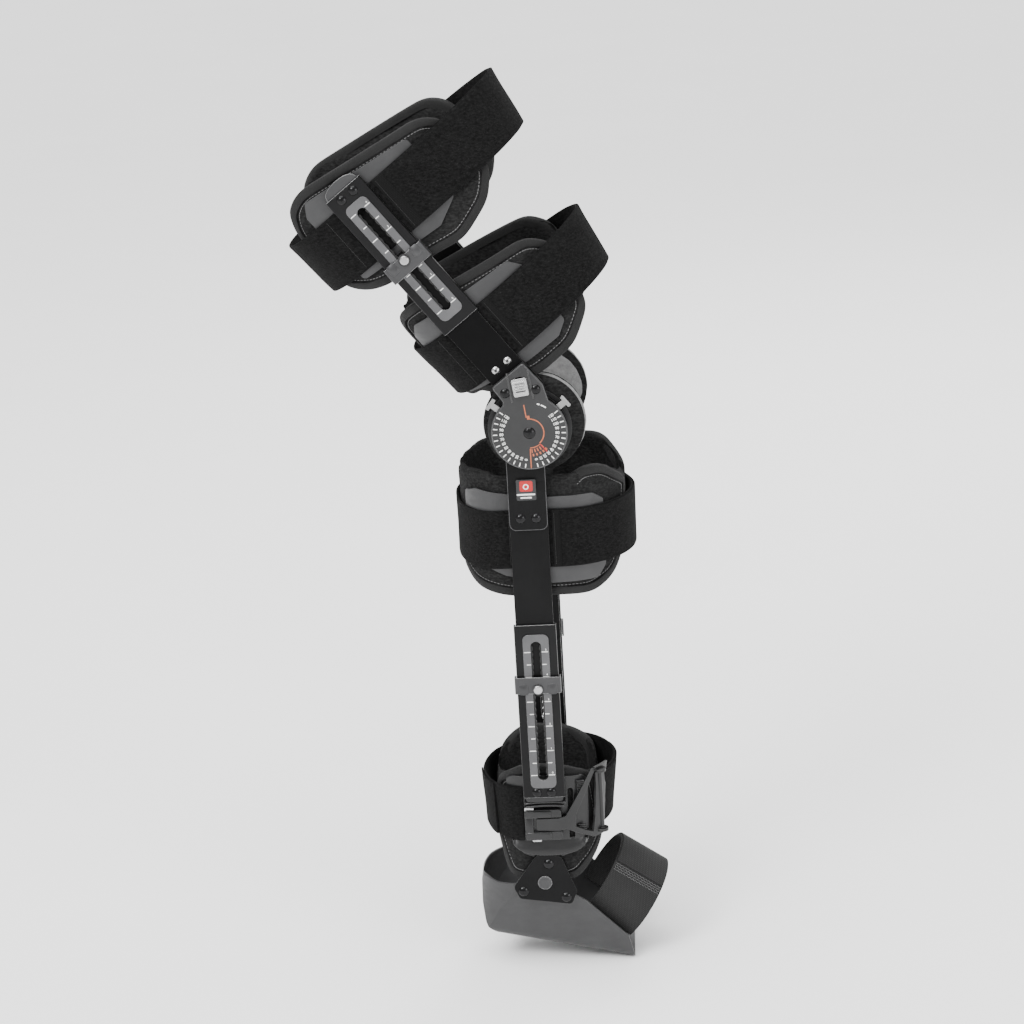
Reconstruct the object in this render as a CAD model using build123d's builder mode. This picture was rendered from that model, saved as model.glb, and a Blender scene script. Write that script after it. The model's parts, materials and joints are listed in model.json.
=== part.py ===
from build123d import *
import os
from math import cos, radians, sin

# Post-operative knee brace with a telescoping bar on each side of the leg, an ankle
# section and a heel shell. Millimetres. +Z is up along the shank bars, +X is forward
# (towards the toes) and -Y is the lateral side. The origin is the middle of the knee axis.

os.makedirs("parts", exist_ok=True)

# ---------------------------------------------------------------- driving dimensions
THIGH_LEAN = 38.0  # the thigh bars lean back from the shank bars, degrees
FOOT_PITCH = 13.0  # the sole points down from level, degrees
ANKLE_X, ANKLE_Z = -5.7, -409.4  # ankle axis

# Distances outward from the mid-plane. Every layer starts a little outside the last.
BAR_LEVEL = 68.0  # inner face of the bars
BAR_THICK = 2.4
GAP = 0.3  # between pieces that move past each other
SKIN = 0.1  # between soft layers of one cuff
PAD_THICK = 8.0
SHELL_THICK = 1.7
STRAP_THICK = 2.2
STRAP_OUT = BAR_LEVEL - GAP - 0.1
SHELL_OUT = STRAP_OUT - STRAP_THICK - SKIN
PAD_OUT = SHELL_OUT - SHELL_THICK - SKIN
PAD_IN = PAD_OUT - PAD_THICK

# Side bars and their telescoping channels
BAR_WIDTH = 33.0
CHANNEL_WALL = 1.6
CHANNEL_IN = BAR_LEVEL + BAR_THICK + GAP
CHANNEL_OUT = CHANNEL_IN + CHANNEL_WALL
CHANNEL_WIDTH = BAR_WIDTH + 2 * (GAP + CHANNEL_WALL)
PLATE_THICK = 0.9
PLATE_OUT = CHANNEL_OUT + PLATE_THICK
SLOT_WIDTH = 9.5
THIGH_BAR_T = 19.0  # the thigh bars run this far in front of the knee axis
THIGH_BAR = (42.0, 187.0)  # ends, measured up the thigh from the knee axis
THIGH_CHANNEL = (109.0, 257.5)
THIGH_PLATE = (117.5, 243.5, 22.0)  # ends and width
THIGH_SLOT = (124.5, 236.5)
THIGH_PIN = 180.0
THIGH_RIVETS = ((12.6, 251.2), (25.4, 251.2))
SHANK_BAR_X = -5.3
SHANK_BAR = (-242.0, -56.0)
SHANK_CHANNEL = (-337.4, -175.0)
SHANK_PLATE = (-328.0, -183.5, 22.6)
SHANK_SLOT = (-320.8, -189.8)
SHANK_PIN = -233.6
SHANK_RIVETS = ((-11.8, -332.6), (1.2, -332.6))
CLAMP_THICK = 1.5
CLAMP_LONG = 15.0
CLAMP_PAST_PIN = 4.0  # from the pin to the clamp's edge away from the knee
PIN_HEAD_R, PIN_STEM_R, PIN_HEAD_THICK = 4.0, 2.4, 2.4
PIN_CLEAR = 0.1
RIVET_HEAD_R, RIVET_STEM_R, RIVET_DOME = 4.3, 2.0, 2.0

# Knee hinge, from the mid-plane outward: pad, disc, back plate, arm, stops, cover
CONDYLE_R = 46.0
CONDYLE_CENTRE = (5.0, 5.0)
CONDYLE_IN, CONDYLE_OUT = 53.0, 61.2
CONDYLE_SWEEP = 54.5  # soft pieces nearer the knee axis than this stay outside the pad
DISC_R, DISC_THICK, BOSS_R = 36.0, 1.6, 16.0
BACK_IN, BACK_OUT = 65.4, 67.7
HINGE_R = 32.5
ARM_HEAD_R = 24.0
ARM_END = -88.0
ARM_JOG = (-46.0, -54.0)  # the arm steps outward here, over the shank bar
ARM_OUT = BAR_LEVEL + BAR_THICK + 0.2
ARM_FACE = ARM_OUT + BAR_THICK
ARM_RIVETS = ((-12.0, -77.4), (1.4, -77.4))
STOP_IN, STOP_OUT = 70.8, 73.0
STOP_R = (25.5, 31.5)
STOP_TAB_R = 42.0
STOP_TAB_WIDTH = 7.0
STOP_CAP_THICK = 3.0
STOP_HALF_ANGLE = 8.0
STOP_ANGLE = 128.4  # of each stop tab from straight down, at the end of its scale
COVER_IN, COVER_OUT = 73.2, 77.4
HUB_R = 12.0
PIVOT_R, PIVOT_CLEAR = 4.0, 0.05
PIVOT_HEAD_R, PIVOT_DOME = 5.2, 2.2
NECK = ((-29.5, 40.5), (-2.5, 61.2), (13.6, 41.4), (15.0, 36.4), (18.4, 24.0), (0, 0), (-22.0, 20.0),
        (-20.9, 27.8), (-27.6, 37.5))
NECK_CORNERS = (2, 2, 6, 3, 1, 1, 1, 2, 2)
NECK_START = 44.0  # the neck's thick end, measured up the thigh
COVER_SCREWS = ((-18.6, 35.7), (7.2, 38.0))
BAR_SCREWS = ((13.0, 58.4), (26.0, 58.4))
BAR_SCREW_R, BAR_SCREW_STEM_R, BAR_SCREW_DOME = 3.5, 1.6, 1.6
LOCK_ANGLE = 8.0  # the lock slider's track leans back from straight up
LOCK_R = (33.2, 48.6)
LOCK_WIDTH = 12.6
LOCK_STEM = (6.0, 7.0)
LOCK_TRAVEL = 5.0
LOCK_RIBS, LOCK_RIB_PITCH = 4, 3.0

# Leg sections: front and rear ends of the flat sides, then the half-ellipses' reach
# past them at the strap's outer face
UPPER_SECTION = (54.0, -6.0, 109.0, 54.0)
LOWER_SECTION = (44.0, 2.0, 98.0, 40.0)
CALF_SECTION = (24.0, -32.0, 61.0, 39.0)
ANKLE_SECTION = (12.0, -22.0, 43.0, 39.0)

UPPER_PAD = ((-40, 192), (-24, 178), (-8, 172), (40, 166), (67, 160), (103, 171), (122, 190),
             (118, 246), (104, 260), (-14, 279), (-32, 272), (-41, 252))
UPPER_SHELL = ((-20, 188), (60, 181), (84, 192), (86, 254), (-14, 269), (-22, 258))
UPPER_STRAP = (193.0, 247.0)
LOWER_PAD = ((-26, 61), (-21, 50), (39, 31), (77, 31), (107, 48), (117, 108), (103, 126),
             (-4, 146), (-24, 145), (-29, 133))
LOWER_SHELL = ((-24, 62), (-18, 56), (39, 46), (72, 45), (84, 52), (88, 110), (80, 122), (-16, 131),
               (-24, 122))
LOWER_STRAP = (57.0, 111.0)
CALF_PAD = ((-67, -43), (-52, -38), (61, -38), (79, -58), (74, -122), (66, -140), (48, -151),
            (-26, -150), (-54, -143), (-70, -126))
CALF_SHELL = ((-60, -58), (-50, -53), (0, -61), (50, -61), (59, -68), (59, -128), (52, -138),
              (12, -139), (-27, -131), (-61, -114))
CALF_STRAP = (-124.0, -71.5)

# Ankle section
ANKLE_OUT = 54.0  # outer face of the ankle plates
ANKLE_PLATE_THICK = 2.4
ANKLE_PAD_THICK = 10.0
FRONT_STRAP = (-380.0, -327.0)
REAR_STRAP = (-386.0, -334.0)
FRONT_STRAP_X = (40.0, 15.0)  # the front strap's lateral and medial ends
REAR_STRAP_X = -25.0  # both ends of the rear strap
ANKLE_PAD = ((-48, -328), (-26, -315), (13, -318), (39, -328), (44, -392), (37, -408), (20, -428),
             (-42, -426), (-52, -380))
ANKLE_PLATE = ((-40, -327), (-33, -324), (28, -326), (33, -333), (32, -378), (22, -396), (8, -403),
               (-18, -403), (-28, -399), (-38, -384))
MOUNT_BLOCK = (-342.0, -325.0)
LUG_R = 7.5
STRAP_SLOT = (17.0, (-387.0, -337.0), 5.0)  # centre, ends and width
ANKLE_STRAP_OUT = ANKLE_OUT + 0.2 + STRAP_THICK
ANKLE_PAD_OUT = ANKLE_OUT - ANKLE_PLATE_THICK - SKIN

# Ankle buckle: a base with two rails, and a tongue that lies between them
RECEIVER_MIDDLE = (-8.3, -369.5)
RECEIVER_SIZE = (33.0, 29.0, 5.6)
TONGUE_WAY = 14.0
TONGUE_IN = ANKLE_STRAP_OUT + 0.6
TONGUE_OUT = TONGUE_IN + 2.4
TONGUE = ((-14, -375), (6, -376), (12, -374), (36, -386), (45.5, -386), (45.5, -322), (36, -322),
          (12, -362), (6, -364), (-14, -364))
TONGUE_WINDOW = ((39, -383.5), (55, -383.5), (55, -324.5), (39, -324.5), (21, -362), (21, -373))
LOOP_X, LOOP_Y = 44.0, -43.0
LOOP_ROD_R, LOOP_EYE_R, LOOP_EYE_OUT = 2.0, 2.3, 4.4
LOOP_Z = (-383.5, -323.5)
LOOP_EAR_R, LOOP_EAR_LONG = 5.6, 2.5

# Foot shell, in the foot's own directions: along the sole and square to it, from the ankle axis
SOLE = -88.0
FOOT_WALL = 2.2
FOOT_TOP_HALF, FOOT_SOLE_HALF = 54.0, 36.0
FOOT_TOP = -22.0
FOOT_SIDE = ((-57, -38), (-40, -34.5), (-23, -27), (28, -27), (41, -32), (85, -63), (96.5, -88),
             (-30, -88), (-44, -80), (-51, -63))
FOOT_SIDE_CORNERS = (8, 4, 3, 3, 10, 2, 2, 14, 14, 8)
FOOT_SOLE_CORNER = 12.0
FOOT_PLAN_MARGIN = 2.0  # the heel's plan is this much wider each side than the walls
FOOT_PLAN = (-57.0, 97.0, 58.0)  # back end, front end and the reach of the round heel
BRACKET_IN, BRACKET_OUT = 54.3, 56.6
BRACKET = ((-16.5, -400.4), (5, -400.4), (18.5, -437), (13.5, -449.5), (-33, -442.5), (-38.5, -431))
BRACKET_CORNERS = (7.5, 7.5, 5, 4, 4, 5)
BRACKET_HOLES = ((-29.7, -435.7), (8.7, -442.8))
BRACKET_HEAD_R = 4.8
INSTEP_TILT = 21.8  # the instep strap's axis slopes down forward from the sole
INSTEP_STRAP = (56.0, 106.0)
INSTEP_CENTRE, INSTEP_HALF_WIDTH, INSTEP_HEIGHT, INSTEP_END = -5.0, 41.0, 40.5, -30.0
INSTEP_THICK = 2.2

MID_GAP = 8.0  # pads and shells of the two sides stop this far from the mid-plane
SIDE_REACH = 90.0  # past every piece, for cutting straight through one side


# ---------------------------------------------------------------- planes and outlines
def side_plane(level, lean=0.0, x=0.0, z=0.0):
    """Lateral side plane: x forward, y up along a limb that leans back, normal outward."""
    tilt = radians(lean)
    return Plane(origin=(x, -level, z), x_dir=(cos(tilt), 0, sin(tilt)), z_dir=(0, -1, 0))


def cross_plane(height, lean=0.0):
    """Plane across a limb at a height along it: x forward, y medial, normal up the limb."""
    tilt = radians(lean)
    up = Vector(-sin(tilt), 0, cos(tilt))
    return Plane(origin=up * height, x_dir=(cos(tilt), 0, sin(tilt)), z_dir=up)


def limb_face(section, level, outermost, mode=Mode.ADD):
    """Closed limb section with flat sides at a level and a half-ellipse front and rear."""
    front, rear, front_reach, rear_reach = section
    inset = outermost - level
    front_r, rear_r = front_reach - inset, rear_reach - inset
    with BuildLine() as outline:
        EllipticalCenterArc((front, 0), front_r, level, -90, arc_size=180)
        Line((front, level), (rear, level))
        EllipticalCenterArc((rear, 0), rear_r, level, 90, arc_size=180)
        Line((rear, -level), (front, -level))
    make_face(outline.edges(), mode=mode)


def rounded_face(points, radius, mode=Mode.ADD):
    """Closed outline through the points with rounded corners."""
    with BuildLine() as outline:
        FilletPolyline(*points, radius=radius, close=True)
    make_face(outline.edges(), mode=mode)


def slot_face(ends, centre, width, mode=Mode.ADD):
    """Straight slot with round ends, along the plane's y axis."""
    with Locations((centre, (ends[0] + ends[1]) / 2)):
        SlotOverall(ends[1] - ends[0], width, rotation=90, mode=mode)


# ---------------------------------------------------------------- writing the pieces
def save(solid, label):
    solid.label = label
    export_step(solid, f"parts/{label}.step")


def save_sides(solid, label):
    """Write a lateral piece and its mirror image as two nodes."""
    save(solid, f"{label}_lateral")
    with BuildPart() as medial:
        mirror(solid, about=Plane.XZ)
    save(medial.part, f"{label}_medial")


def save_pair(solid, label):
    """Write a lateral piece and its mirror image as one node."""
    with BuildPart() as both:
        add(solid)
        mirror(solid, about=Plane.XZ)
    save(both.part, label)


# ---------------------------------------------------------------- soft cuffs
def cuff_ring(section, span, levels, outermost, lean=0.0):
    """Closed band round the limb between two heights along it."""
    with BuildPart() as ring:
        with BuildSketch(cross_plane(span[0], lean)):
            limb_face(section, levels[1], outermost)
            limb_face(section, levels[0], outermost, mode=Mode.SUBTRACT)
        extrude(amount=span[1] - span[0])
    return ring.part


def cuff_side(section, outline, corner, levels, outermost, lean=0.0, clear_knee=False):
    """The stretch of a band inside a side outline, on the lateral side."""
    heights = [point[1] for point in outline]
    with BuildPart() as piece:
        with BuildSketch(cross_plane(min(heights), lean)):
            limb_face(section, levels[1], outermost)
            limb_face(section, levels[0], outermost, mode=Mode.SUBTRACT)
        extrude(amount=max(heights) - min(heights))
        with BuildSketch(side_plane(MID_GAP, lean)):
            rounded_face(outline, corner)
        extrude(amount=SIDE_REACH, mode=Mode.INTERSECT)
        if clear_knee:
            with BuildSketch(side_plane(0)):
                Circle(CONDYLE_SWEEP)
            extrude(amount=CONDYLE_OUT + GAP, mode=Mode.SUBTRACT)
            with BuildSketch(side_plane(0)):
                Circle(STOP_TAB_R - 4)
            extrude(amount=SIDE_REACH, mode=Mode.SUBTRACT)
    return piece.part


def save_cuff(name, section, pad, shell, strap, lean, clear_knee):
    pads = cuff_side(section, pad, 9, (PAD_IN, PAD_OUT), STRAP_OUT, lean, clear_knee)
    save_sides(pads, f"{name}_pad")
    shells = cuff_side(section, shell, 4, (PAD_OUT + SKIN, SHELL_OUT), STRAP_OUT, lean)
    save_pair(shells, f"{name}_shells")
    levels = (SHELL_OUT + SKIN, STRAP_OUT)
    save(cuff_ring(section, strap, levels, STRAP_OUT, lean), f"{name}_strap")


# ---------------------------------------------------------------- bars and channels
def flat_bar(ends, centre, pin, rivets, rivet_r, lean=0.0):
    """Inner side bar with holes for its rivets and for the clamp pin."""
    with BuildPart() as bar:
        with BuildSketch(side_plane(BAR_LEVEL, lean)):
            with Locations((centre, (ends[0] + ends[1]) / 2)):
                RectangleRounded(BAR_WIDTH, ends[1] - ends[0], 4)
            with Locations(*rivets):
                Circle(rivet_r, mode=Mode.SUBTRACT)
            with Locations((centre, pin)):
                Circle(PIN_STEM_R + PIN_CLEAR, mode=Mode.SUBTRACT)
        extrude(amount=BAR_THICK)
    return bar.part


def channel(ends, centre, slot, rivets, lean=0.0):
    """Open-backed channel that slides over the bar, with a slot for the clamp pin."""
    length = ends[1] - ends[0]
    middle = (centre, (ends[0] + ends[1]) / 2)
    with BuildPart() as piece:
        with BuildSketch(side_plane(BAR_LEVEL + GAP / 2, lean)):
            with Locations(middle):
                Rectangle(CHANNEL_WIDTH, length)
        extrude(amount=CHANNEL_OUT - BAR_LEVEL - GAP / 2)
        long_edges = piece.faces().sort_by(Axis.Y)[0].edges().sort_by(SortBy.LENGTH)[-2:]
        fillet(long_edges, 1.4)
        with BuildSketch(side_plane(BAR_LEVEL, lean)):
            with Locations(middle):
                Rectangle(BAR_WIDTH + 2 * GAP, length)
        extrude(amount=CHANNEL_IN - BAR_LEVEL, mode=Mode.SUBTRACT)
        with BuildSketch(side_plane(BAR_LEVEL, lean)):
            slot_face(slot, centre, SLOT_WIDTH)
            with Locations(*rivets):
                Circle(RIVET_STEM_R)
        extrude(amount=CHANNEL_OUT - BAR_LEVEL, mode=Mode.SUBTRACT)
    return piece.part


def scale_plate(plate, centre, slot, lean=0.0):
    with BuildPart() as piece:
        with BuildSketch(side_plane(CHANNEL_OUT, lean)):
            with Locations((centre, (plate[0] + plate[1]) / 2)):
                RectangleRounded(plate[2], plate[1] - plate[0], 5)
            slot_face(slot, centre, SLOT_WIDTH, mode=Mode.SUBTRACT)
        extrude(amount=PLATE_THICK)
    return piece.part


def clamp_band(pin, away, centre, lean=0.0):
    """Clip round the channel's outside; away is +1 or -1, the way from the knee."""
    middle = (centre, pin + away * (CLAMP_PAST_PIN - CLAMP_LONG / 2))
    inner_width = CHANNEL_WIDTH + 2 * GAP
    with BuildPart() as piece:
        with BuildSketch(side_plane(BAR_LEVEL + GAP, lean)):
            with Locations(middle):
                Rectangle(inner_width + 2 * CLAMP_THICK, CLAMP_LONG)
        extrude(amount=PLATE_OUT + CLAMP_THICK - BAR_LEVEL)
        face = piece.faces().sort_by(Axis.Y)[0]
        fillet(face.edges().sort_by(SortBy.LENGTH)[:2], 1.4)
        with BuildSketch(side_plane(BAR_LEVEL, lean)):
            with Locations(middle):
                Rectangle(inner_width, CLAMP_LONG)
        extrude(amount=PLATE_OUT + GAP - BAR_LEVEL, mode=Mode.SUBTRACT)
        with BuildSketch(side_plane(BAR_LEVEL, lean)):
            with Locations((centre, pin)):
                Circle(PIN_STEM_R + PIN_CLEAR)
        extrude(amount=SIDE_REACH, mode=Mode.SUBTRACT)
    return piece.part


def clamp_pin(pin, centre, lean=0.0):
    """Spring pin: a domed head outside the clamp and a stem into the bar."""
    seat = PLATE_OUT + GAP + CLAMP_THICK + 0.1
    with BuildPart() as piece:
        with BuildSketch(side_plane(BAR_LEVEL + 0.4, lean)):
            with Locations((centre, pin)):
                Circle(PIN_STEM_R)
        extrude(amount=seat - BAR_LEVEL)
        with BuildSketch(side_plane(seat, lean)):
            with Locations((centre, pin)):
                Circle(PIN_HEAD_R)
        extrude(amount=PIN_HEAD_THICK)
        fillet(piece.faces().sort_by(Axis.Y)[0].edges(), PIN_HEAD_THICK / 2)
    return piece.part


def dome_rivets(centres, head_r, stem_r, dome, levels, lean=0.0):
    """Rivets with low domed heads; levels are the stem's inner end and the head's seat."""
    sphere_r = (head_r**2 + dome**2) / (2 * dome)
    seat = side_plane(levels[1], lean)
    with BuildPart() as piece:
        for centre in centres:
            with BuildSketch(side_plane(levels[0], lean)):
                with Locations(centre):
                    Circle(stem_r)
            extrude(amount=levels[1] - levels[0] + dome / 2)
            middle = seat.from_local_coords((*centre, 0))
            with BuildSketch(Plane(origin=middle, x_dir=seat.x_dir, z_dir=-seat.y_dir)):
                with BuildLine() as half:
                    Line((0, 0), (head_r, 0))
                    RadiusArc((head_r, 0), (0, dome), -sphere_r)
                    Line((0, dome), (0, 0))
                make_face(half.edges())
            revolve(axis=Axis(middle, seat.z_dir))
    return piece.part


def black_rivets(centres, levels, lean=0.0):
    return dome_rivets(centres, RIVET_HEAD_R, RIVET_STEM_R, RIVET_DOME, levels, lean)


# ---------------------------------------------------------------- knee hinge
def hinge_arm():
    """Lower hinge arm: a round head on the pivot, stepping outward over the shank bar."""
    step = ARM_OUT - BAR_LEVEL
    with BuildPart() as piece:
        with BuildSketch(Plane.YZ.offset(-HINGE_R)):
            with BuildLine() as profile:
                Polyline(
                    (-BAR_LEVEL, ARM_HEAD_R),
                    (-BAR_LEVEL, ARM_JOG[0]),
                    (-BAR_LEVEL - step, ARM_JOG[1]),
                    (-BAR_LEVEL - step, ARM_END),
                    (-ARM_OUT - BAR_THICK, ARM_END),
                    (-ARM_OUT - BAR_THICK, ARM_JOG[1] + 0.7),
                    (-BAR_LEVEL - BAR_THICK, ARM_JOG[0] + 0.7),
                    (-BAR_LEVEL - BAR_THICK, ARM_HEAD_R),
                    close=True,
                )
            make_face(profile.edges())
        extrude(amount=2 * HINGE_R)
        with BuildSketch(side_plane(0)):
            Circle(ARM_HEAD_R)
            with Locations((SHANK_BAR_X, ARM_END / 2)):
                RectangleRounded(BAR_WIDTH, -ARM_END, 6)
            Circle(PIVOT_R + PIVOT_CLEAR, mode=Mode.SUBTRACT)
            with Locations(*ARM_RIVETS):
                Circle(RIVET_STEM_R, mode=Mode.SUBTRACT)
        extrude(amount=SIDE_REACH, mode=Mode.INTERSECT)
    return piece.part


def neck_block():
    """Thick end of the cover's neck, which rests on the thigh bar."""
    with BuildPart() as piece:
        with BuildSketch(side_plane(CHANNEL_IN)):
            rounded_neck()
        extrude(amount=COVER_IN - CHANNEL_IN)
        with BuildSketch(side_plane(0, THIGH_LEAN)):
            with Locations((0, NECK_START - SIDE_REACH)):
                Rectangle(2 * SIDE_REACH, 2 * SIDE_REACH)
        extrude(amount=SIDE_REACH, mode=Mode.SUBTRACT)
    return piece.part


def rounded_neck():
    rounded_face(NECK, NECK_CORNERS)


def lock_plane(level):
    return side_plane(level, LOCK_ANGLE)


def hinge_cover():
    """Dial cover: a round face, a neck over the thigh bar, and a hub on the pivot."""
    with BuildPart() as piece:
        with BuildSketch(side_plane(COVER_IN)):
            Circle(HINGE_R)
            rounded_neck()
        extrude(amount=COVER_OUT - COVER_IN)
        outer = piece.faces().sort_by(Axis.Y)[0]
        chamfer(outer.edges(), 0.8)
        with BuildSketch(side_plane(STOP_IN - 0.1)):
            Circle(HUB_R)
        extrude(amount=COVER_IN - STOP_IN + 0.1)
        add(neck_block())
        with BuildSketch(side_plane(0)):
            Circle(PIVOT_R)
            with Locations(*COVER_SCREWS):
                Circle(RIVET_STEM_R)
        extrude(amount=SIDE_REACH, mode=Mode.SUBTRACT)
        with BuildSketch(lock_plane(0)):
            with Locations((0, sum(LOCK_R) / 2 + LOCK_TRAVEL / 2)):
                Rectangle(LOCK_STEM[0] + 2 * GAP, LOCK_STEM[1] + LOCK_TRAVEL + 2 * GAP)
        extrude(amount=SIDE_REACH, mode=Mode.SUBTRACT)
    return piece.part


def hinge_back_plate():
    with BuildPart() as piece:
        with BuildSketch(side_plane(BACK_IN)):
            Circle(HINGE_R)
            rounded_neck()
            Circle(PIVOT_R, mode=Mode.SUBTRACT)
            with Locations(*COVER_SCREWS):
                Circle(RIVET_STEM_R, mode=Mode.SUBTRACT)
        extrude(amount=BACK_OUT - BACK_IN)
    return piece.part


def stop_tab(angle):
    """Sector under the dial cover with a T-shaped tab past its edge; angle from straight down."""
    inner, outer = STOP_R
    with BuildPart() as piece:
        with BuildSketch(side_plane(STOP_IN, 180 + angle)):
            Circle(outer)
            Circle(inner, mode=Mode.SUBTRACT)
            with BuildLine() as wedge:
                reach = 2 * outer
                half = reach * sin(radians(STOP_HALF_ANGLE))
                Polyline((0, 0), (-half, reach), (half, reach), close=True)
            make_face(wedge.edges(), mode=Mode.INTERSECT)
            with Locations((0, (inner + STOP_TAB_R) / 2)):
                Rectangle(STOP_TAB_WIDTH - 2, STOP_TAB_R - inner)
            with Locations((0, STOP_TAB_R - STOP_CAP_THICK / 2)):
                RectangleRounded(STOP_TAB_WIDTH + 4, STOP_CAP_THICK, 1)
            Circle(inner, mode=Mode.SUBTRACT)
        extrude(amount=STOP_OUT - STOP_IN)
    return piece.part


def lock_slider():
    """Ribbed thumb block outside the cover, with a stem through the cover's slot."""
    middle = sum(LOCK_R) / 2
    with BuildPart() as piece:
        with BuildSketch(lock_plane(COVER_OUT + 0.1)):
            with Locations((0, middle)):
                RectangleRounded(LOCK_WIDTH, LOCK_R[1] - LOCK_R[0], 1.5)
        extrude(amount=1.6)
        with BuildSketch(lock_plane(COVER_OUT + 1.7)):
            with Locations((0, middle)):
                with GridLocations(1, LOCK_RIB_PITCH, 1, LOCK_RIBS):
                    RectangleRounded(LOCK_WIDTH - 2, 1.6, 0.5)
        extrude(amount=1.0)
        with BuildSketch(lock_plane(COVER_IN + 0.1)):
            with Locations((0, middle)):
                Rectangle(*LOCK_STEM)
        extrude(amount=COVER_OUT - COVER_IN)
    return piece.part


def condyle_pad():
    with BuildPart() as piece:
        with BuildSketch(side_plane(CONDYLE_IN)):
            with Locations(CONDYLE_CENTRE):
                Circle(CONDYLE_R)
        extrude(amount=CONDYLE_OUT - CONDYLE_IN)
        fillet(piece.faces().sort_by(Axis.Y)[-1].edges(), 3)
    return piece.part


def condyle_disc():
    """Backing disc of the condyle pad, with a boss up to the hinge's back plate."""
    with BuildPart() as piece:
        with BuildSketch(side_plane(CONDYLE_OUT)):
            Circle(DISC_R)
        extrude(amount=DISC_THICK)
        with BuildSketch(side_plane(CONDYLE_OUT + DISC_THICK)):
            Circle(BOSS_R)
        extrude(amount=BACK_IN - CONDYLE_OUT - DISC_THICK)
    return piece.part


# ---------------------------------------------------------------- ankle section
def ankle_pad():
    return cuff_side(ANKLE_SECTION, ANKLE_PAD, 9, (ANKLE_PAD_OUT - ANKLE_PAD_THICK, ANKLE_PAD_OUT),
                     ANKLE_STRAP_OUT)


def ankle_plate():
    """Curved ankle plate with a block for the channel and a lug for the ankle pivot."""
    levels = (ANKLE_OUT - ANKLE_PLATE_THICK, ANKLE_OUT)
    plate = cuff_side(ANKLE_SECTION, ANKLE_PLATE, 5, levels, ANKLE_STRAP_OUT)
    block_middle = (MOUNT_BLOCK[0] + MOUNT_BLOCK[1]) / 2
    with BuildPart() as piece:
        add(plate)
        with BuildSketch(side_plane(ANKLE_OUT - 1)):
            with Locations((SHANK_BAR_X, block_middle)):
                RectangleRounded(BAR_WIDTH, MOUNT_BLOCK[1] - MOUNT_BLOCK[0], 3)
        extrude(amount=CHANNEL_IN - ANKLE_OUT + 1)
        with BuildSketch(side_plane(ANKLE_OUT - ANKLE_PLATE_THICK)):
            with Locations((ANKLE_X, ANKLE_Z)):
                Circle(LUG_R)
            with Locations((ANKLE_X, ANKLE_Z + LUG_R)):
                Rectangle(2 * LUG_R, 2 * LUG_R)
        extrude(amount=ANKLE_PLATE_THICK)
        with BuildSketch(side_plane(0)):
            with Locations((ANKLE_X, ANKLE_Z), *SHANK_RIVETS):
                Circle(RIVET_STEM_R)
            centre, ends, width = STRAP_SLOT
            slot_face(ends, centre, width)
        extrude(amount=SIDE_REACH, mode=Mode.SUBTRACT)
    return piece.part


def ankle_straps():
    """Front strap with its sewn loop for the buckle, and rear strap, both ending on the plates."""
    levels = (ANKLE_OUT + 0.2, ANKLE_STRAP_OUT)
    front = cuff_ring(ANKLE_SECTION, FRONT_STRAP, levels, ANKLE_STRAP_OUT)
    rear = cuff_ring(ANKLE_SECTION, REAR_STRAP, levels, ANKLE_STRAP_OUT)
    span = FRONT_STRAP[1] - FRONT_STRAP[0]
    with BuildPart() as piece:
        add(front)
        with BuildSketch(Plane.XY.offset(FRONT_STRAP[0])):
            lateral, medial = FRONT_STRAP_X
            with Locations((lateral - SIDE_REACH, -SIDE_REACH)):
                Rectangle(2 * SIDE_REACH, 2 * SIDE_REACH)
            with Locations((medial - SIDE_REACH, SIDE_REACH)):
                Rectangle(2 * SIDE_REACH, 2 * SIDE_REACH)
        extrude(amount=span, mode=Mode.SUBTRACT)
        with BuildSketch(Plane.XY.offset(FRONT_STRAP[0])):
            with Locations((LOOP_X, LOOP_Y)):
                Circle(LOOP_EYE_OUT)
        extrude(amount=span)
        with BuildSketch(Plane.XY.offset(FRONT_STRAP[0])):
            with Locations((LOOP_X, LOOP_Y)):
                Circle(LOOP_EYE_R)
        extrude(amount=span, mode=Mode.SUBTRACT)
    with BuildPart() as back:
        add(rear)
        with BuildSketch(Plane.XY.offset(REAR_STRAP[0])):
            with Locations((REAR_STRAP_X + SIDE_REACH, 0)):
                Rectangle(2 * SIDE_REACH, 2 * SIDE_REACH)
        extrude(amount=REAR_STRAP[1] - REAR_STRAP[0], mode=Mode.SUBTRACT)
    with BuildPart() as both:
        add(piece.part)
        add(back.part)
    return both.part


def buckle_receiver():
    """Ratchet base on the lateral ankle plate: two rails with the tongue's way between."""
    long, tall, rise = RECEIVER_SIZE
    with BuildPart() as piece:
        with BuildSketch(side_plane(ANKLE_OUT + 0.2)):
            with Locations(RECEIVER_MIDDLE):
                RectangleRounded(long, tall, 3)
        extrude(amount=rise)
        with BuildSketch(side_plane(TONGUE_IN - 0.4)):
            with Locations(RECEIVER_MIDDLE):
                Rectangle(2 * long, TONGUE_WAY)
        extrude(amount=SIDE_REACH, mode=Mode.SUBTRACT)
    return piece.part


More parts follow.
